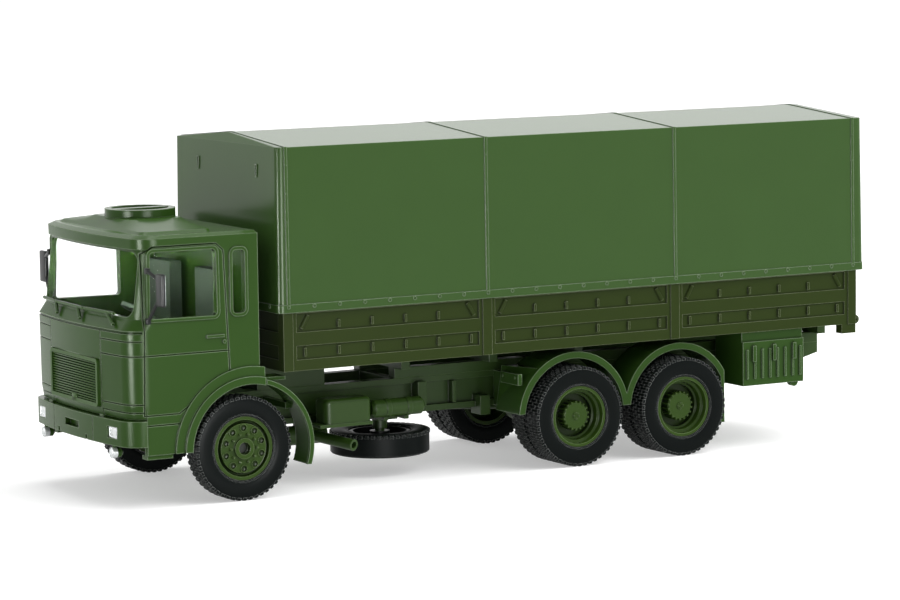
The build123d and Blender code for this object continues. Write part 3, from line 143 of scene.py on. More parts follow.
def scaled(tree, colour, share):
    node = tree.nodes.new("ShaderNodeVectorMath")
    node.operation = "SCALE"
    tree.links.new(colour, node.inputs[0])
    tree.links.new(share, node.inputs["Scale"])
    return node.outputs[0]


def noiseOn(tree, scale, detail):
    where = tree.nodes.new("ShaderNodeTexCoord")
    node = tree.nodes.new("ShaderNodeTexNoise")
    node.inputs["Detail"].default_value = detail
    tree.links.new(where.outputs["Object"], node.inputs["Vector"])
    if isinstance(scale, bpy.types.NodeSocket):
        tree.links.new(scale, node.inputs["Scale"])
    else:
        node.inputs["Scale"].default_value = scale
    return node.outputs["Fac"]


def ramped(tree, value, colours):
    node = tree.nodes.new("ShaderNodeValToRGB")
    for element, colour in zip(node.color_ramp.elements, colours):
        element.color = colour
    tree.links.new(value, node.inputs["Fac"])
    return node.outputs["Color"]


def bumpFrom(tree, height, strength, depth):
    node = tree.nodes.new("ShaderNodeBump")
    node.inputs["Strength"].default_value = strength
    node.inputs["Distance"].default_value = depth * mm
    tree.links.new(height, node.inputs["Height"])
    return node


# the camera, gloss and what passes through glass all meet the plain white surround
def seenRays(tree):
    path = tree.nodes.new("ShaderNodeLightPath")
    seen = calc(tree, "MAXIMUM", path.outputs["Is Camera Ray"], path.outputs["Is Glossy Ray"])
    return calc(tree, "MAXIMUM", seen, path.outputs["Is Transmission Ray"])


skyValues = {"tone": 0.43, "seen": 1.0}
floorValues = {"size": 30.0, "colour": 0.8, "lift": 0.4}


def whiteSky(tree, strength):
    node = tree.nodes.new("ShaderNodeBackground")
    node.inputs["Color"].default_value = (1, 1, 1, 1)
    node.inputs["Strength"].default_value = strength
    return node.outputs[0]


def makeSky():
    world = bpy.data.worlds.new("studioSky")
    world.use_nodes = True
    tree = world.node_tree
    tree.nodes.clear()
    mix = tree.nodes.new("ShaderNodeMixShader")
    out = tree.nodes.new("ShaderNodeOutputWorld")
    tree.links.new(seenRays(tree), mix.inputs[0])
    tree.links.new(whiteSky(tree, skyValues["tone"]), mix.inputs[1])
    tree.links.new(whiteSky(tree, skyValues["seen"]), mix.inputs[2])
    tree.links.new(mix.outputs[0], out.inputs["Surface"])
    scene.world = world


def makeFloor():
    v = floorValues
    bpy.ops.object.select_all(action="DESELECT")
    bpy.ops.mesh.primitive_plane_add(size=v["size"])
    floor = bpy.context.object
    floor.name = "studioFloor"
    material = bpy.data.materials.new("paleFloor")
    material.use_nodes = True
    tree = material.node_tree
    tree.nodes.clear()
    paint = tree.nodes.new("ShaderNodeBsdfDiffuse")
    paint.inputs["Color"].default_value = (v["colour"], v["colour"], v["colour"], 1)
    glow = tree.nodes.new("ShaderNodeEmission")
    add = tree.nodes.new("ShaderNodeAddShader")
    out = tree.nodes.new("ShaderNodeOutputMaterial")
    tree.links.new(calc(tree, "MULTIPLY", seenRays(tree), v["lift"]), glow.inputs["Strength"])
    tree.links.new(paint.outputs[0], add.inputs[0])
    tree.links.new(glow.outputs[0], add.inputs[1])
    tree.links.new(add.outputs[0], out.inputs["Surface"])
    floor.data.materials.append(material)


scene.view_settings.view_transform = "Standard"
makeCamera()
makeLamps()
makeSky()
makeFloor()
print("studio ready")


def linear(colour):
    parts = []
    for level in colour:
        share = level / 255
        parts.append(share / 12.92 if share <= 0.04045 else ((share + 0.055) / 1.055) ** 2.4)
    return (parts[0], parts[1], parts[2], 1)


def newGroup(name, inputs, outputs):
    group = bpy.data.node_groups.new(name, "ShaderNodeTree")
    for way, sockets in (("INPUT", inputs), ("OUTPUT", outputs)):
        for label, kind in sockets:
            group.interface.new_socket(label, in_out=way, socket_type="NodeSocket" + kind)
    return group, group.nodes.new("NodeGroupInput"), group.nodes.new("NodeGroupOutput")


def placedGroup(tree, group, values):
    node = tree.nodes.new("ShaderNodeGroup")
    node.node_tree = group
    for label, value in values.items():
        node.inputs[label].default_value = value
    return node


# moulded plastic: fine mould grain, faint tone drift and a roughness that follows the grain
grainValues = {"cloud": 160.0, "cloudDetail": 4.0, "grain": 9000.0, "grainDetail": 2.0, "swing": 0.1,
               "bump": 0.06, "bumpDepth": 0.03}


def makeMouldGrain():
    v = grainValues
    group, start, end = newGroup(
        "mouldGrain",
        (("Color", "Color"), ("Drift", "Float"), ("Roughness", "Float"), ("Grain", "Float"),
         ("Swing", "Float")),
        (("Color", "Color"), ("Roughness", "Float"), ("Height", "Float")),
    )
    given = start.outputs
    cloud = noiseOn(group, v["cloud"], v["cloudDetail"])
    grain = noiseOn(group, given["Grain"], v["grainDetail"])
    drift = calc(group, "MULTIPLY_ADD", calc(group, "SUBTRACT", cloud, 0.5), given["Drift"], 1.0)
    centred = calc(group, "SUBTRACT", grain, 0.5)
    rough = calc(group, "MULTIPLY_ADD", centred, given["Swing"], given["Roughness"])
    group.links.new(scaled(group, given["Color"], drift), end.inputs["Color"])
    group.links.new(rough, end.inputs["Roughness"])
    group.links.new(grain, end.inputs["Height"])
    return group


# moulded edges: corners read as rounded, a pale highlight is painted along their crests, and shade is painted
# into grooves and inner corners, which come out darker
edgeValues = {"samples": 6, "paintedHighlightSpan": (0.98, 0.72), "openSpan": (0.8, 0.98), "shade": 0.8}


def makeSoftEdgesPaintedLight():
    v = edgeValues
    group, start, end = newGroup(
        "softEdgesPaintedLight",
        (("Color", "Color"), ("Painted Highlight", "Color"), ("Radius", "Float"), ("Lift", "Float"), ("Reach", "Float"),
         ("Shade", "Float")),
        (("Color", "Color"), ("Normal", "Vector")),
    )
    given, link = start.outputs, group.links.new
    corner = group.nodes.new("ShaderNodeBevel")
    corner.samples = v["samples"]
    link(given["Radius"], corner.inputs["Radius"])
    link(corner.outputs["Normal"], end.inputs["Normal"])
    flat = group.nodes.new("ShaderNodeNewGeometry")
    along = group.nodes.new("ShaderNodeVectorMath")
    along.operation = "DOT_PRODUCT"
    link(corner.outputs["Normal"], along.inputs[0])
    link(flat.outputs["True Normal"], along.inputs[1])
    nearby = group.nodes.new("ShaderNodeAmbientOcclusion")
    nearby.samples = v["samples"]
    nearby.only_local = True
    link(given["Reach"], nearby.inputs["Distance"])
    # painted highlight: where the rounded normal turns away from the flat one on an open corner, the colour
    # is mixed towards a pale highlight colour
    turned = mapped(group, along.outputs["Value"], v["paintedHighlightSpan"])
    outer = mapped(group, nearby.outputs["AO"], v["openSpan"])
    paintedHighlight = calc(group, "MULTIPLY", calc(group, "MULTIPLY", turned, outer), given["Lift"])
    # painted shade: the colour darkens where nearby surfaces close in, in grooves, hollows and inner corners
    depth = calc(group, "SUBTRACT", 1.0, nearby.outputs["AO"])
    kept = calc(group, "SUBTRACT", 1.0, calc(group, "MULTIPLY", depth, given["Shade"]))
    mix = group.nodes.new("ShaderNodeMix")
    mix.data_type = "RGBA"
    link(paintedHighlight, mix.inputs["Factor"])
    link(scaled(group, given["Color"], kept), mix.inputs[6])  # the mix node's first colour
    link(given["Painted Highlight"], mix.inputs[7])                       # and its second
    link(mix.outputs[2], end.inputs["Color"])
    return group


mouldGrain = makeMouldGrain()
softEdgesPaintedLight = makeSoftEdgesPaintedLight()

# colours are written as seen in plain light, 0 to 255; edge is the moulded corner in millimetres, the
# highlight colour a pale highlight painted along it, lift how much of that painted highlight shows and reach
# how far painted shade darkens a hollow; sheen is the clear gloss on faces that look up
plasticFinishes = {
    "army_green_plastic": {"colour": (45, 69, 24), "rough": 0.34, "gloss": 0.18, "drift": 0.12, "edge": 0.14,
                           "paintedHighlight": (120, 142, 102), "lift": 0.5, "reach": 0.4},
    "cab_green_plastic": {"colour": (48, 77, 28), "rough": 0.24, "gloss": 0.08, "drift": 0.08, "edge": 0.22,
                          "paintedHighlight": (185, 204, 172), "lift": 0.6, "reach": 0.35, "sheen": 0.25},
    "grille_green_plastic": {"colour": (52, 84, 26), "rough": 0.3, "gloss": 0.08, "drift": 0.08, "edge": 0.03,
                             "paintedHighlight": (150, 172, 125), "lift": 0.5, "reach": 0.3},
    "cover_green_plastic": {"colour": (56, 84, 38), "rough": 0.2, "gloss": 0.12, "drift": 0.09, "edge": 0.16,
                            "paintedHighlight": (195, 212, 184), "lift": 0.7, "reach": 0.25, "sheen": 0.48},
    "olive_brown_plastic": {"colour": (43, 56, 18), "rough": 0.4, "gloss": 0.08, "drift": 0.14, "edge": 0.12,
                            "paintedHighlight": (168, 178, 142), "lift": 0.8, "reach": 0.3},
    # rims: a long reach paints deep shade into the hollows of the wheel dishes
    "rim_green_plastic": {"colour": (50, 74, 22), "rough": 0.26, "gloss": 0.12, "drift": 0.08, "edge": 0.12,
                          "paintedHighlight": (160, 182, 130), "lift": 0.7, "reach": 1.8},
    "dark_interior_plastic": {"colour": (78, 94, 76), "rough": 0.5, "gloss": 0.1, "drift": 0.1},
    "black_plastic": {"colour": (12, 15, 14), "rough": 0.3, "gloss": 0.2, "drift": 0.12, "edge": 0.1,
                      "paintedHighlight": (110, 116, 112), "lift": 0.5, "reach": 0.3},
    # tyres: the pale highlight painted on the lug edges stands for glints
    "black_tyre": {"colour": (10, 15, 14), "rough": 0.4, "gloss": 0.06, "drift": 0.16, "edge": 0.07,
                   "paintedHighlight": (215, 220, 216), "lift": 0.9, "reach": 0.07},
    "steel_pin": {"colour": (40, 48, 36), "rough": 0.3, "gloss": 0.3, "drift": 0.1, "edge": 0.05,
                  "paintedHighlight": (80, 90, 78), "lift": 0.4, "reach": 0.2},
}
sheenValues = {"upSpan": (0.6, 0.95), "rough": 0.1}


def newMaterial(name):
    material = bpy.data.materials.new(name)
    material.use_nodes = True
    tree = material.node_tree
    return material, tree, tree.nodes["Principled BSDF"]


def addSheen(tree, shader, amount):
    surface = tree.nodes.new("ShaderNodeNewGeometry")
    axes = tree.nodes.new("ShaderNodeSeparateXYZ")
    tree.links.new(surface.outputs["Normal"], axes.inputs[0])
    upward = mapped(tree, axes.outputs["Z"], sheenValues["upSpan"], (0.0, amount))
    tree.links.new(upward, shader.inputs["Coat Weight"])
    shader.inputs["Coat Roughness"].default_value = sheenValues["rough"]


# rounded shading normal, with a painted highlight on crests and painted shade in hollows mixed into the base
# colour
def addEdges(tree, shader, grain, v):
    edges = placedGroup(tree, softEdgesPaintedLight, {
        "Painted Highlight": linear(v["paintedHighlight"]), "Radius": v["edge"] * mm, "Lift": v["lift"], "Reach": v["reach"] * mm,
        "Shade": edgeValues["shade"],
    })
    bump = bumpFrom(tree, grain.outputs["Height"], grainValues["bump"], grainValues["bumpDepth"])
    tree.links.new(grain.outputs["Color"], edges.inputs["Color"])
    tree.links.new(edges.outputs["Color"], shader.inputs["Base Color"])
    tree.links.new(edges.outputs["Normal"], bump.inputs["Normal"])
    tree.links.new(bump.outputs["Normal"], shader.inputs["Normal"])


def plasticMaterial(name, v):
    material, tree, shader = newMaterial(name)
    grain = placedGroup(tree, mouldGrain, {
        "Color": linear(v["colour"]), "Drift": v["drift"], "Roughness": v["rough"],
        "Grain": grainValues["grain"], "Swing": grainValues["swing"],
    })
    shader.inputs["Specular IOR Level"].default_value = v["gloss"]
    tree.links.new(grain.outputs["Roughness"], shader.inputs["Roughness"])
    if "sheen" in v:
        addSheen(tree, shader, v["sheen"])
    if "edge" in v:
        addEdges(tree, shader, grain, v)
    else:
        tree.links.new(grain.outputs["Color"], shader.inputs["Base Color"])
    return material


# clear moulded glazing: a faint flow unevenness in its tint
glazingValues = {"bend": 1.03, "flow": 220.0, "flowDetail": 2.0,
                 "tints": ((0.95, 0.97, 0.96, 1), (0.98, 0.99, 0.985, 1))}


def glazingMaterial():
    v = glazingValues
    material, tree, shader = newMaterial("clear_glazing")
    shader.inputs["Roughness"].default_value = 0.0
    shader.inputs["IOR"].default_value = v["bend"]
    shader.inputs["Transmission Weight"].default_value = 1.0
    tint = ramped(tree, noiseOn(tree, v["flow"], v["flowDetail"]), v["tints"])
    tree.links.new(tint, shader.inputs["Base Color"])
    path = tree.nodes.new("ShaderNodeLightPath")
    solid = calc(tree, "SUBTRACT", 1.0, path.outputs["Is Shadow Ray"])
    tree.links.new(solid, shader.inputs["Alpha"])  # light falls through the panes
    return material


# silvered lamp faces: fine upright flutes and a slightly uneven tone
lensValues = {"metal": 0.35, "flutes": 1100.0, "cloud": 1500.0, "cloudDetail": 2.0, "roughSpan": (0.18, 0.34),
              "tones": ((0.5, 0.53, 0.53, 1), (0.86, 0.88, 0.88, 1)), "bump": 0.3, "bumpDepth": 0.03}


def lensMaterial():
    v = lensValues
    material, tree, shader = newMaterial("silver_lens")
    shader.inputs["Metallic"].default_value = v["metal"]
    where = tree.nodes.new("ShaderNodeTexCoord")
    flutes = tree.nodes.new("ShaderNodeTexWave")
    flutes.bands_direction = "Y"
    flutes.inputs["Scale"].default_value = v["flutes"]
    tree.links.new(where.outputs["Object"], flutes.inputs["Vector"])
    cloud = noiseOn(tree, v["cloud"], v["cloudDetail"])
    tree.links.new(ramped(tree, cloud, v["tones"]), shader.inputs["Base Color"])
    tree.links.new(mapped(tree, cloud, (0.0, 1.0), v["roughSpan"]), shader.inputs["Roughness"])
    bump = bumpFrom(tree, flutes.outputs["Fac"], v["bump"], v["bumpDepth"])
    tree.links.new(bump.outputs["Normal"], shader.inputs["Normal"])
    return material


finishes = {name: plasticMaterial(name, v) for name, v in plasticFinishes.items()}
finishes["clear_glazing"] = glazingMaterial()
finishes["silver_lens"] = lensMaterial()


def paintNodes():
    for entry in frame["record"]["subparts"]:
        mesh = nodes[entry["node"]].data
        mesh.materials.clear()
        mesh.materials.append(finishes[entry["material_slot"]])


paintNodes()
print("finishes on", len(nodes), "nodes")


# modelling helpers
alongX = (0, math.pi / 2, 0)      # turns a cylinder or a ring from upright
alongY = (math.pi / 2, 0, 0)
halfTurn = (0, 0, math.pi)
squareOn = 0.9                    # least share of a normal or an edge along the way it is picked by
sides = ((1, "left"), (-1, "right"))


def clearAll():
    if bpy.context.object and bpy.context.object.mode != "OBJECT":
        bpy.ops.object.mode_set(mode="OBJECT")
    bpy.ops.object.select_all(action="DESELECT")


def choose(piece):
    clearAll()
    piece.select_set(True)
    bpy.context.view_layer.objects.active = piece


def edit(piece):
    choose(piece)
    bpy.ops.object.mode_set(mode="EDIT")


def settled(piece):
    choose(piece)
    bpy.ops.object.transform_apply(location=True, rotation=True, scale=True)
    return piece


def facing(direction, bothWays=False):
    aim = Vector(direction)
    if bothWays:
        return lambda polygon: abs(polygon.normal.dot(aim)) > squareOn
    return lambda polygon: polygon.normal.dot(aim) > squareOn


def running(direction):
    aim = Vector(direction)
    return lambda start, end: abs((end - start).normalized().dot(aim)) > squareOn


def pickFaces(piece, test):
    bpy.ops.mesh.select_mode(type="FACE")
    bpy.ops.mesh.select_all(action="DESELECT")
    bpy.ops.object.mode_set(mode="OBJECT")
    for polygon in piece.data.polygons:
        polygon.select = test(polygon)
    bpy.ops.object.mode_set(mode="EDIT")


def pickEdges(piece, test):
    bpy.ops.mesh.select_mode(type="EDGE")
    bpy.ops.mesh.select_all(action="DESELECT")
    bpy.ops.object.mode_set(mode="OBJECT")
    points = piece.data.vertices
    for line in piece.data.edges:
        line.select = test(points[line.vertices[0]].co, points[line.vertices[1]].co)
    bpy.ops.object.mode_set(mode="EDIT")


# each step is (inward, outward)
def stepFaces(piece, test, steps):
    edit(piece)
    pickFaces(piece, test)
    for inward, outward in steps:
        bpy.ops.mesh.inset(thickness=inward * mm, depth=outward * mm)
    bpy.ops.object.mode_set(mode="OBJECT")
    return piece


# a bevel is (size, segments)
def roundFaces(piece, test, bevel):
    edit(piece)
    pickFaces(piece, test)
    bpy.ops.mesh.bevel(offset=bevel[0] * mm, segments=bevel[1])
    bpy.ops.object.mode_set(mode="OBJECT")
    return piece


def roundAll(piece, bevel):
    edit(piece)
    bpy.ops.mesh.select_mode(type="EDGE")
    bpy.ops.mesh.select_all(action="SELECT")
    bpy.ops.mesh.bevel(offset=bevel[0] * mm, segments=bevel[1])
    bpy.ops.object.mode_set(mode="OBJECT")
    return piece


def smoothed(piece, angle):
    choose(piece)
    bpy.ops.object.shade_smooth_by_angle(angle=math.radians(angle))
    return piece


def copied(piece, place, turn=(0, 0, 0)):
    twin = piece.copy()
    twin.data = piece.data.copy()
    scene.collection.objects.link(twin)
    twin.location = Vector(place) * mm
    twin.rotation_euler = turn
    return settled(twin)


def joined(pieces):
    clearAll()
    for piece in pieces:
        piece.select_set(True)
    bpy.context.view_layer.objects.active = pieces[0]
    bpy.ops.object.join()
    return pieces[0]


def dropped(piece):
    bpy.data.objects.remove(piece, do_unlink=True)


def dressed(piece, name, slot, body, finish=None):
    piece.name = name
    piece.data.name = name
    piece.data.materials.clear()
    piece.data.materials.append(finishes[finish or slot])
    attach(piece, body)
    return piece


def middleOf(node):
    low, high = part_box(node)
    return [(a + b) / 2 / mm for a, b in zip(low, high)]


def block(place, size):
    clearAll()
    bpy.ops.mesh.primitive_cube_add(size=mm, location=Vector(place) * mm)
    piece = bpy.context.object
    piece.scale = size
    return settled(piece)


def bar(sideCount, radius, length, place, turn):
    clearAll()
    bpy.ops.mesh.primitive_cylinder_add(
        vertices=sideCount, radius=radius * mm, depth=length * mm, location=Vector(place) * mm, rotation=turn
    )
    return settled(bpy.context.object)


def ring(radius, wire, segments, place, turn):
    around, across = segments
    clearAll()
    bpy.ops.mesh.primitive_torus_add(
        major_radius=radius * mm, minor_radius=wire * mm, major_segments=around, minor_segments=across,
        location=Vector(place) * mm, rotation=turn,
    )
    return settled(bpy.context.object)


def rowOf(piece, count, step):
    choose(piece)
    row = piece.modifiers.new("row", "ARRAY")
    row.count = count
    row.use_relative_offset = False
    row.use_constant_offset = True
    row.constant_offset_displace = Vector(step) * mm
    bpy.ops.object.modifier_apply(modifier="row")
    return piece


def bothSides(piece):
    choose(piece)
    flip = piece.modifiers.new("otherSide", "MIRROR")
    flip.use_axis = (False, True, False)
    flip.use_mirror_merge = False
    bpy.ops.object.modifier_apply(modifier="otherSide")
    return piece


def flipped(piece):
    edit(piece)
    bpy.ops.mesh.select_all(action="SELECT")
    bpy.ops.transform.resize(value=(1, -1, 1), center_override=(0, 0, 0))
    bpy.ops.mesh.flip_normals()
    bpy.ops.object.mode_set(mode="OBJECT")
    return piece


# copies round the wheel's axis; start is a share of one step
def aroundAxle(piece, count, start=0.0):
    edit(piece)
    bpy.ops.mesh.select_all(action="SELECT")
    turn = 2 * math.pi / count
    bpy.ops.transform.rotate(value=-start * turn, orient_axis="Y", center_override=(0, 0, 0))
    bpy.ops.mesh.spin(steps=count - 1, dupli=True, angle=turn * (count - 1), center=(0, 0, 0), axis=(0, 1, 0))
    bpy.ops.mesh.select_all(action="SELECT")
    bpy.ops.mesh.normals_make_consistent(inside=False)
    bpy.ops.object.mode_set(mode="OBJECT")
    return piece


# tyre: cap steps go from the tread's edge down the side wall to the bead, and lug rows are
# (across, width, stagger)
tyreValues = {
    "segments": 120,
    "carcass": 6.18,
    "treadHalf": 1.2,
    "capSteps": ((0.12, 0.13), (0.26, 0.1), (0.55, 0.06), (0.55, 0.0), (0.4, -0.05), (0.14, -0.08),
                 (0.1, 0.06), (0.16, -0.06)),
    "lugs": 50,
    "lugLength": 0.52,
    "lugRows": ((1.07, 0.72, 0.0), (0.35, 0.5, 0.5), (-0.35, 0.5, 0.0), (-1.07, 0.72, 0.5)),
    "lugBase": 5.92,
    "lugTop": 6.29,
    "lugTaper": 0.84,
    "lugBevel": (0.05, 1),
    "twinHalf": 1.7,
    "smooth": 32,
}
# the spare: a smooth band with lugs along its upper shoulder alone
spareTyreValues = {"carcass": 6.19, "lugRows": ((1.2, 0.46, 0.0),)}


def makeCarcass(radius):
    v = tyreValues
    tyre = bar(v["segments"], radius, 2 * v["treadHalf"], (0, 0, 0), alongY)
    edit(tyre)
    pickFaces(tyre, facing((0, 1, 0), bothWays=True))
    for inward, outward in v["capSteps"]:
        bpy.ops.mesh.inset(thickness=inward * mm, depth=outward * mm)
    bpy.ops.mesh.delete(type="FACE")
    bpy.ops.mesh.select_mode(type="EDGE")
    bpy.ops.mesh.select_all(action="DESELECT")
    bpy.ops.mesh.select_non_manifold()
    bpy.ops.mesh.bridge_edge_loops()
    bpy.ops.mesh.select_all(action="SELECT")
    bpy.ops.mesh.normals_make_consistent(inside=False)
    bpy.ops.object.mode_set(mode="OBJECT")
    return tyre


def makeLugRow(across, width, stagger):
    v = tyreValues
    height = v["lugTop"] - v["lugBase"]
    row = block((0, across, (v["lugBase"] + v["lugTop"]) / 2), (v["lugLength"], width, height))
    edit(row)
    pickFaces(row, facing((0, 0, 1)))
    bpy.ops.transform.resize(value=(v["lugTaper"], v["lugTaper"], 1))
    return aroundAxle(roundFaces(row, facing((0, 0, 1)), v["lugBevel"]), v["lugs"], stagger)


def makeTyre(radius, rows):
    tyre = joined([makeCarcass(radius)] + [makeLugRow(*row) for row in rows])
    return smoothed(tyre, tyreValues["smooth"])


def dressTyres():
    half = tyreValues["twinHalf"]
    tyre = makeTyre(tyreValues["carcass"], tyreValues["lugRows"])
    for side, word in sides:
        single = copied(tyre, middleOf("front_tyre_" + word))
        dressed(single, "frontTyre" + word.title(), "black_tyre", "front_wheelset")
        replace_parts(single, "front_tyre_" + word)
        for axle in ("middle", "rear"):
            x, y, z = middleOf(axle + "_tyres_" + word)
            pair = joined([copied(tyre, (x, y + side * half, z)), copied(tyre, (x, y - side * half, z))])
            dressed(pair, axle + "Tyres" + word.title(), "black_tyre", axle + "_wheelset")
            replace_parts(pair, axle + "_tyres_" + word)
    dropped(tyre)
    band = makeTyre(spareTyreValues["carcass"], spareTyreValues["lugRows"])
    spare = copied(band, middleOf("spare_tyre"), alongY)
    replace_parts(dressed(spare, "spareTyre", "black_tyre", "chassis"), "spare_tyre")
    dropped(band)


dressTyres()
print("tyres dressed")


# front wheel: raised ring round each hand hole, a blind floor in it, and ten nuts round the hub
frontWheelValues = {
    "face": 1.25, "holes": 10, "holeCircle": 2.45,
    "ringRadius": 0.43, "ringWire": 0.075, "ringSegments": (20, 8),
    "plugRadius": 0.38, "plugDepth": 0.28, "plugThick": 0.2, "plugSides": 16, "plugSteps": ((0.12, -0.06),),
    "nuts": 10, "nutStart": 0.5, "nutCircle": 1.72, "nutSides": 6, "nutRadius": 0.2, "nutHeight": 0.2,
    "studRadius": 0.1, "smooth": 35,
}
# rear hub: knobs down its side that scallop the edge, and a capped centre with four dots
rearHubValues = {
    "face": 2.15, "foot": 0.65, "knobs": 18, "knobCircle": 1.74, "knobRadius": 0.15, "knobProud": 0.04,
    "knobSides": 12, "knobSteps": ((0.07, 0.06),), "capRadius": 0.5, "capHeight": 0.12, "capSides": 24,
    "capBevel": (0.06, 2), "dots": 4, "dotCircle": 0.3, "dotRadius": 0.09, "dotHeight": 0.08, "dotSides": 8,
    "smooth": 35,
}
boltShares = {"chamfer": 0.25, "crown": 0.2, "stud": 0.6}      # shares of a bolt's radius and of its height


# bar along the axle, standing up from it
def axleBar(sideCount, radius, up, low, high):
    return bar(sideCount, radius, high - low, (0, (low + high) / 2, up), alongY)


def makeBolt(sideCount, radius, height, circle, face, stud=0.0):
    v = boltShares
    steps = [(v["chamfer"] * radius, v["crown"] * height)]
    if stud:
        steps += [((1 - v["chamfer"]) * radius - stud, 0), (0, v["stud"] * height)]
    bolt = axleBar(sideCount, radius, circle, face - height, face + height)
    return stepFaces(bolt, facing((0, 1, 0)), steps)


def dressFrontWheels():
    v = frontWheelValues
    rim = ring(v["ringRadius"], v["ringWire"], v["ringSegments"], (0, v["face"], v["holeCircle"]), alongY)
    floor = v["face"] - v["plugDepth"]
    plug = axleBar(v["plugSides"], v["plugRadius"], v["holeCircle"], floor - v["plugThick"], floor)
    stepFaces(plug, facing((0, 1, 0)), v["plugSteps"])
    holes = aroundAxle(joined([rim, plug]), v["holes"])
    nut = makeBolt(v["nutSides"], v["nutRadius"], v["nutHeight"], v["nutCircle"], v["face"], v["studRadius"])
    face = smoothed(joined([holes, aroundAxle(nut, v["nuts"], v["nutStart"])]), v["smooth"])
    for side, word in sides:
        wheel = copied(face, middleOf("front_tyre_" + word), (0, 0, 0) if side == 1 else halfTurn)
        dressed(wheel, "frontHubFittings" + word.title(), "rim_green_plastic", "front_wheelset")
    dropped(face)


def dressRearHubs():
    v = rearHubValues
    knob = axleBar(v["knobSides"], v["knobRadius"], v["knobCircle"], v["foot"], v["face"] + v["knobProud"])
    knobs = aroundAxle(stepFaces(knob, facing((0, 1, 0)), v["knobSteps"]), v["knobs"])
    dot = makeBolt(v["dotSides"], v["dotRadius"], v["dotHeight"], v["dotCircle"], v["face"] + v["capHeight"])
    dots = aroundAxle(dot, v["dots"])
    cap = axleBar(v["capSides"], v["capRadius"], 0, v["face"] - v["capHeight"], v["face"] + v["capHeight"])
    roundFaces(cap, facing((0, 1, 0)), v["capBevel"])
    hub = smoothed(joined([cap, knobs, dots]), v["smooth"])
    for axle in ("middle", "rear"):
        for side, word in sides:
            place = middleOf(axle + "_tyres_" + word)
            wheel = copied(hub, place, (0, 0, 0) if side == 1 else halfTurn)
            dressed(wheel, axle + "HubFittings" + word.title(), "rim_green_plastic", axle + "_wheelset")
    dropped(hub)


dressFrontWheels()
dressRearHubs()
print("wheel faces dressed")


# lamps: silver shell with a domed face on each fog lamp, framed panes on the headlamps
fogLampValues = {
    "face": 52.51, "across": 10.1, "height": 6.62, "radius": 0.63, "sleeve": 0.55, "proud": 0.06, "sides": 28,
    "faceSteps": ((0.07, 0.0), (0.02, -0.07), (0.1, 0.09), (0.16, 0.06), (0.14, 0.02)), "smooth": 40,
}
headlampValues = {
    "face": 52.38, "across": 10.3, "height": 9.06, "size": (0.12, 2.1, 1.25),
    "faceSteps": ((0.12, 0.0), (0.04, -0.05), (0.25, 0.03)),
}


def dressFogLamps():
    v = fogLampValues
    middle = v["face"] + (v["proud"] - v["sleeve"]) / 2
    place = (middle, v["across"], v["height"])
    shell = bar(v["sides"], v["radius"], v["sleeve"] + v["proud"], place, alongX)
    smoothed(stepFaces(shell, facing((1, 0, 0)), v["faceSteps"]), v["smooth"])
    dressed(bothSides(shell), "fogLampShells", "silver_lens", "chassis")


def dressHeadlamps():
    v = headlampValues
    pane = block((v["face"], v["across"], v["height"]), v["size"])
    stepFaces(pane, facing((1, 0, 0)), v["faceSteps"])
    dressed(bothSides(pane), "headlampPanes", "silver_lens", "chassis")


dressFogLamps()
dressHeadlamps()
print("lamps dressed")


# mirrors: rounded head on two arms with feet on the cab, and a glass on the rear face; the arms' ends step in
# and out by shares of their radius
mirrorValues = {
    "head": (48.975, 17.1, 26.2), "size": (0.55, 1.8, 3.9), "headBevel": (0.22, 4),
    "feet": ((49.375, 14.4, 28.25), (49.375, 14.4, 22.35)), "footY": 14.33, "footSize": (0.6, 0.5, 0.7),
    "footBevel": (0.1, 2), "tips": ((48.975, 16.5, 27.4), (48.975, 16.5, 25.0)), "armRadius": 0.22,
    "armSides": 16, "armEnd": (0.4, 0.3), "glass": (0.08, 1.5, 3.5), "glassBevel": (0.03, 2), "smooth": 40,
}


def makeArm(start, end):
    v = mirrorValues
    run = Vector(end) - Vector(start)
    turn = run.to_track_quat("Z", "Y").to_euler()
    arm = bar(v["armSides"], v["armRadius"], run.length, Vector(start) + run / 2, turn)
    inward, outward = (share * v["armRadius"] for share in v["armEnd"])
    return stepFaces(arm, facing(run.normalized(), bothWays=True), ((inward, outward),))


def makeMirror():
    v = mirrorValues
    parts = [roundAll(block(v["head"], v["size"]), v["headBevel"])]
    for foot, tip in zip(v["feet"], v["tips"]):
        parts.append(makeArm(foot, tip))
        parts.append(roundAll(block((foot[0], v["footY"], foot[2]), v["footSize"]), v["footBevel"]))
    return smoothed(joined(parts), v["smooth"])


def dressMirrors():
    v = mirrorValues
    x, y, z = v["head"]
    for side, word in sides:
        mirror = makeMirror()
        glass = roundAll(block((x - v["size"][0] / 2, y, z), v["glass"]), v["glassBevel"])
        if side == -1:
            flipped(mirror)
            flipped(glass)
        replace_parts(dressed(mirror, "mirror" + word.title(), "black_plastic", "chassis"), "mirror_" + word)
        dressed(glass, "mirrorGlass" + word.title(), "silver_lens", "chassis")


dressMirrors()
print("mirrors dressed")


# cover: eyelets along the hem all round, studs up each seam, two loops on the front wall; draft is how far
# the sides lean in for each millimetre of height
coverValues = {
    "side": 14.4, "front": 32.39, "rear": -53.1, "draft": 0.0101, "posts": (31.025, 3.598, -23.828, -51.255),
    "hemHeight": 22.75, "hemFrontY": 12.1, "perBay": 8, "across": 7,
    "eyeletRadius": 0.2, "eyeletWire": 0.08, "eyeletSegments": (14, 6),
    "studHeights": (26.06, 29.44, 32.95, 36.32, 39.69), "studRadius": 0.13, "studProud": 0.1,
    "studRounds": (10, 6),
    "loops": ((-7.27, 38.9), (8.7, 38.8)), "loopSize": (0.22, 0.5, 1.6), "loopFront": 32.2, "loopTaper": 0.55,
    "loopSteps": ((0.1, 0.0), (0.02, -0.12)), "smooth": 40,
}


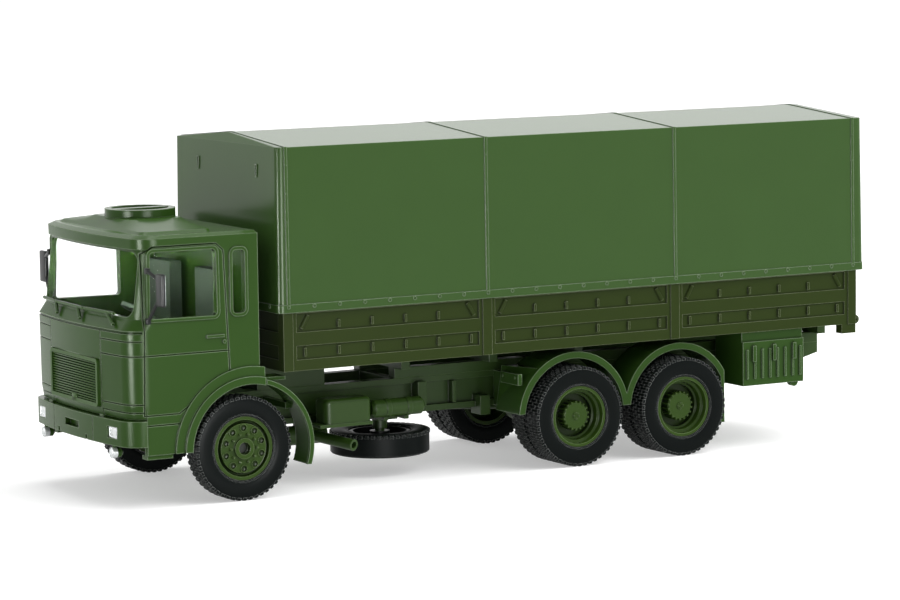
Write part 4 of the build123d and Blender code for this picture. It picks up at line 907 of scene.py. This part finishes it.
def makeEyelet(place, turn):
    v = coverValues
    return ring(v["eyeletRadius"], v["eyeletWire"], v["eyeletSegments"], place, turn)


def makeEyelets():
    v = coverValues
    posts = v["posts"]
    count = (len(posts) - 1) * v["perBay"]
    pitch = (posts[0] - posts[-1]) / count
    first = makeEyelet((posts[0], v["side"], v["hemHeight"]), alongY)
    rows = [bothSides(rowOf(first, count + 1, (-pitch, 0, 0)))]
    step = 2 * v["hemFrontY"] / v["across"]
    for x in (v["front"], v["rear"]):
        end = makeEyelet((x, v["hemFrontY"], v["hemHeight"]), alongX)
        rows.append(rowOf(end, v["across"] + 1, (0, -step, 0)))
    return rows


def makeStud(x, y, z):
    v = coverValues
    around, up = v["studRounds"]
    clearAll()
    bpy.ops.mesh.primitive_uv_sphere_add(
        segments=around, ring_count=up, radius=v["studRadius"] * mm, location=(x * mm, y * mm, z * mm)
    )
    stud = bpy.context.object
    stud.scale = (1, v["studProud"] / v["studRadius"], 1)
    return settled(stud)


def makeStuds():
    v = coverValues
    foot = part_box("canvas_cover")[0][2] / mm
    studs = []
    for post in v["posts"]:
        for height in v["studHeights"]:
            studs.append(makeStud(post, v["side"] - v["draft"] * (height - foot), height))
    return bothSides(joined(studs))


# upright loop, narrower at its foot
def makeLoop(y, z):
    v = coverValues
    loop = block((v["loopFront"], y, z), v["loopSize"])
    edit(loop)
    pickFaces(loop, facing((0, 0, -1)))
    bpy.ops.transform.resize(value=(1, v["loopTaper"], 1))
    return stepFaces(loop, facing((1, 0, 0)), v["loopSteps"])


def dressCover():
    v = coverValues
    fittings = joined(makeEyelets() + [makeStuds()] + [makeLoop(y, z) for y, z in v["loops"]])
    dressed(smoothed(fittings, v["smooth"]), "coverFittings", "cover_green_plastic", "chassis")


dressCover()
print("cover dressed")


# grille: a framed plate with open slats and a clip below
grilleValues = {
    "cornerBevel": (0.5, 4), "frame": 0.45, "lip": 0.02, "recess": 0.45, "slats": 16, "slatShare": 0.52,
    "slatSetback": 0.12, "slatBevel": (0.03, 2), "clip": 0.7, "clipBevel": (0.06, 2), "smooth": 35,
}


def makePlate(low, high):
    v = grilleValues
    plate = block([(a + b) / 2 for a, b in zip(low, high)], [b - a for a, b in zip(low, high)])
    size, segments = v["cornerBevel"]
    edit(plate)
    pickEdges(plate, running((1, 0, 0)))
    bpy.ops.mesh.bevel(offset=size * mm, segments=segments)
    return stepFaces(plate, facing((1, 0, 0)), ((v["frame"], 0), (v["lip"], -v["recess"])))


def makeSlats(face, low, high, half):
    v = grilleValues
    pitch = (high - low) / v["slats"]
    depth = v["recess"] - v["slatSetback"]
    place = (face - v["recess"] + depth / 2, 0, low + pitch / 2)
    slat = block(place, (depth, 2 * half, v["slatShare"] * pitch))
    return rowOf(roundFaces(slat, facing((1, 0, 0)), v["slatBevel"]), v["slats"], (0, 0, pitch))


def dressGrille():
    v = grilleValues
    low, high = ([part / mm for part in corner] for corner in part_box("grille"))
    plate = makePlate(low, high)
    slats = makeSlats(high[0], low[2] + v["frame"], high[2] - v["frame"], high[1] - v["frame"])
    place = (high[0] - v["recess"] / 2, 0, low[2] + v["frame"])
    clip = block(place, (v["recess"], 2 * v["clip"], 2 * v["frame"]))
    roundFaces(clip, facing((1, 0, 0)), v["clipBevel"])
    grille = smoothed(joined([plate, slats, clip]), v["smooth"])
    dressed(grille, "grilleSlats", "cab_green_plastic", "chassis", finish="grille_green_plastic")
    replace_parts(grille, "grille")


dressGrille()
print("grille dressed")


# bolts on the plates of the rear mudguards
guardBoltValues = {"face": -1.575, "height": 11.5, "across": (8.9, 11.9), "radius": 0.2, "proud": 0.14,
                   "sides": 12, "steps": ((0.08, 0.05),), "smooth": 40}


def dressGuards():
    v = guardBoltValues
    bolts = []
    for y in v["across"]:
        bolt = bar(v["sides"], v["radius"], 2 * v["proud"], (v["face"], y, v["height"]), alongX)
        bolts.append(stepFaces(bolt, facing((1, 0, 0)), v["steps"]))
    row = smoothed(bothSides(joined(bolts)), v["smooth"])
    dressed(row, "guardBolts", "cab_green_plastic", "chassis")


dressGuards()
print("mudguards dressed")
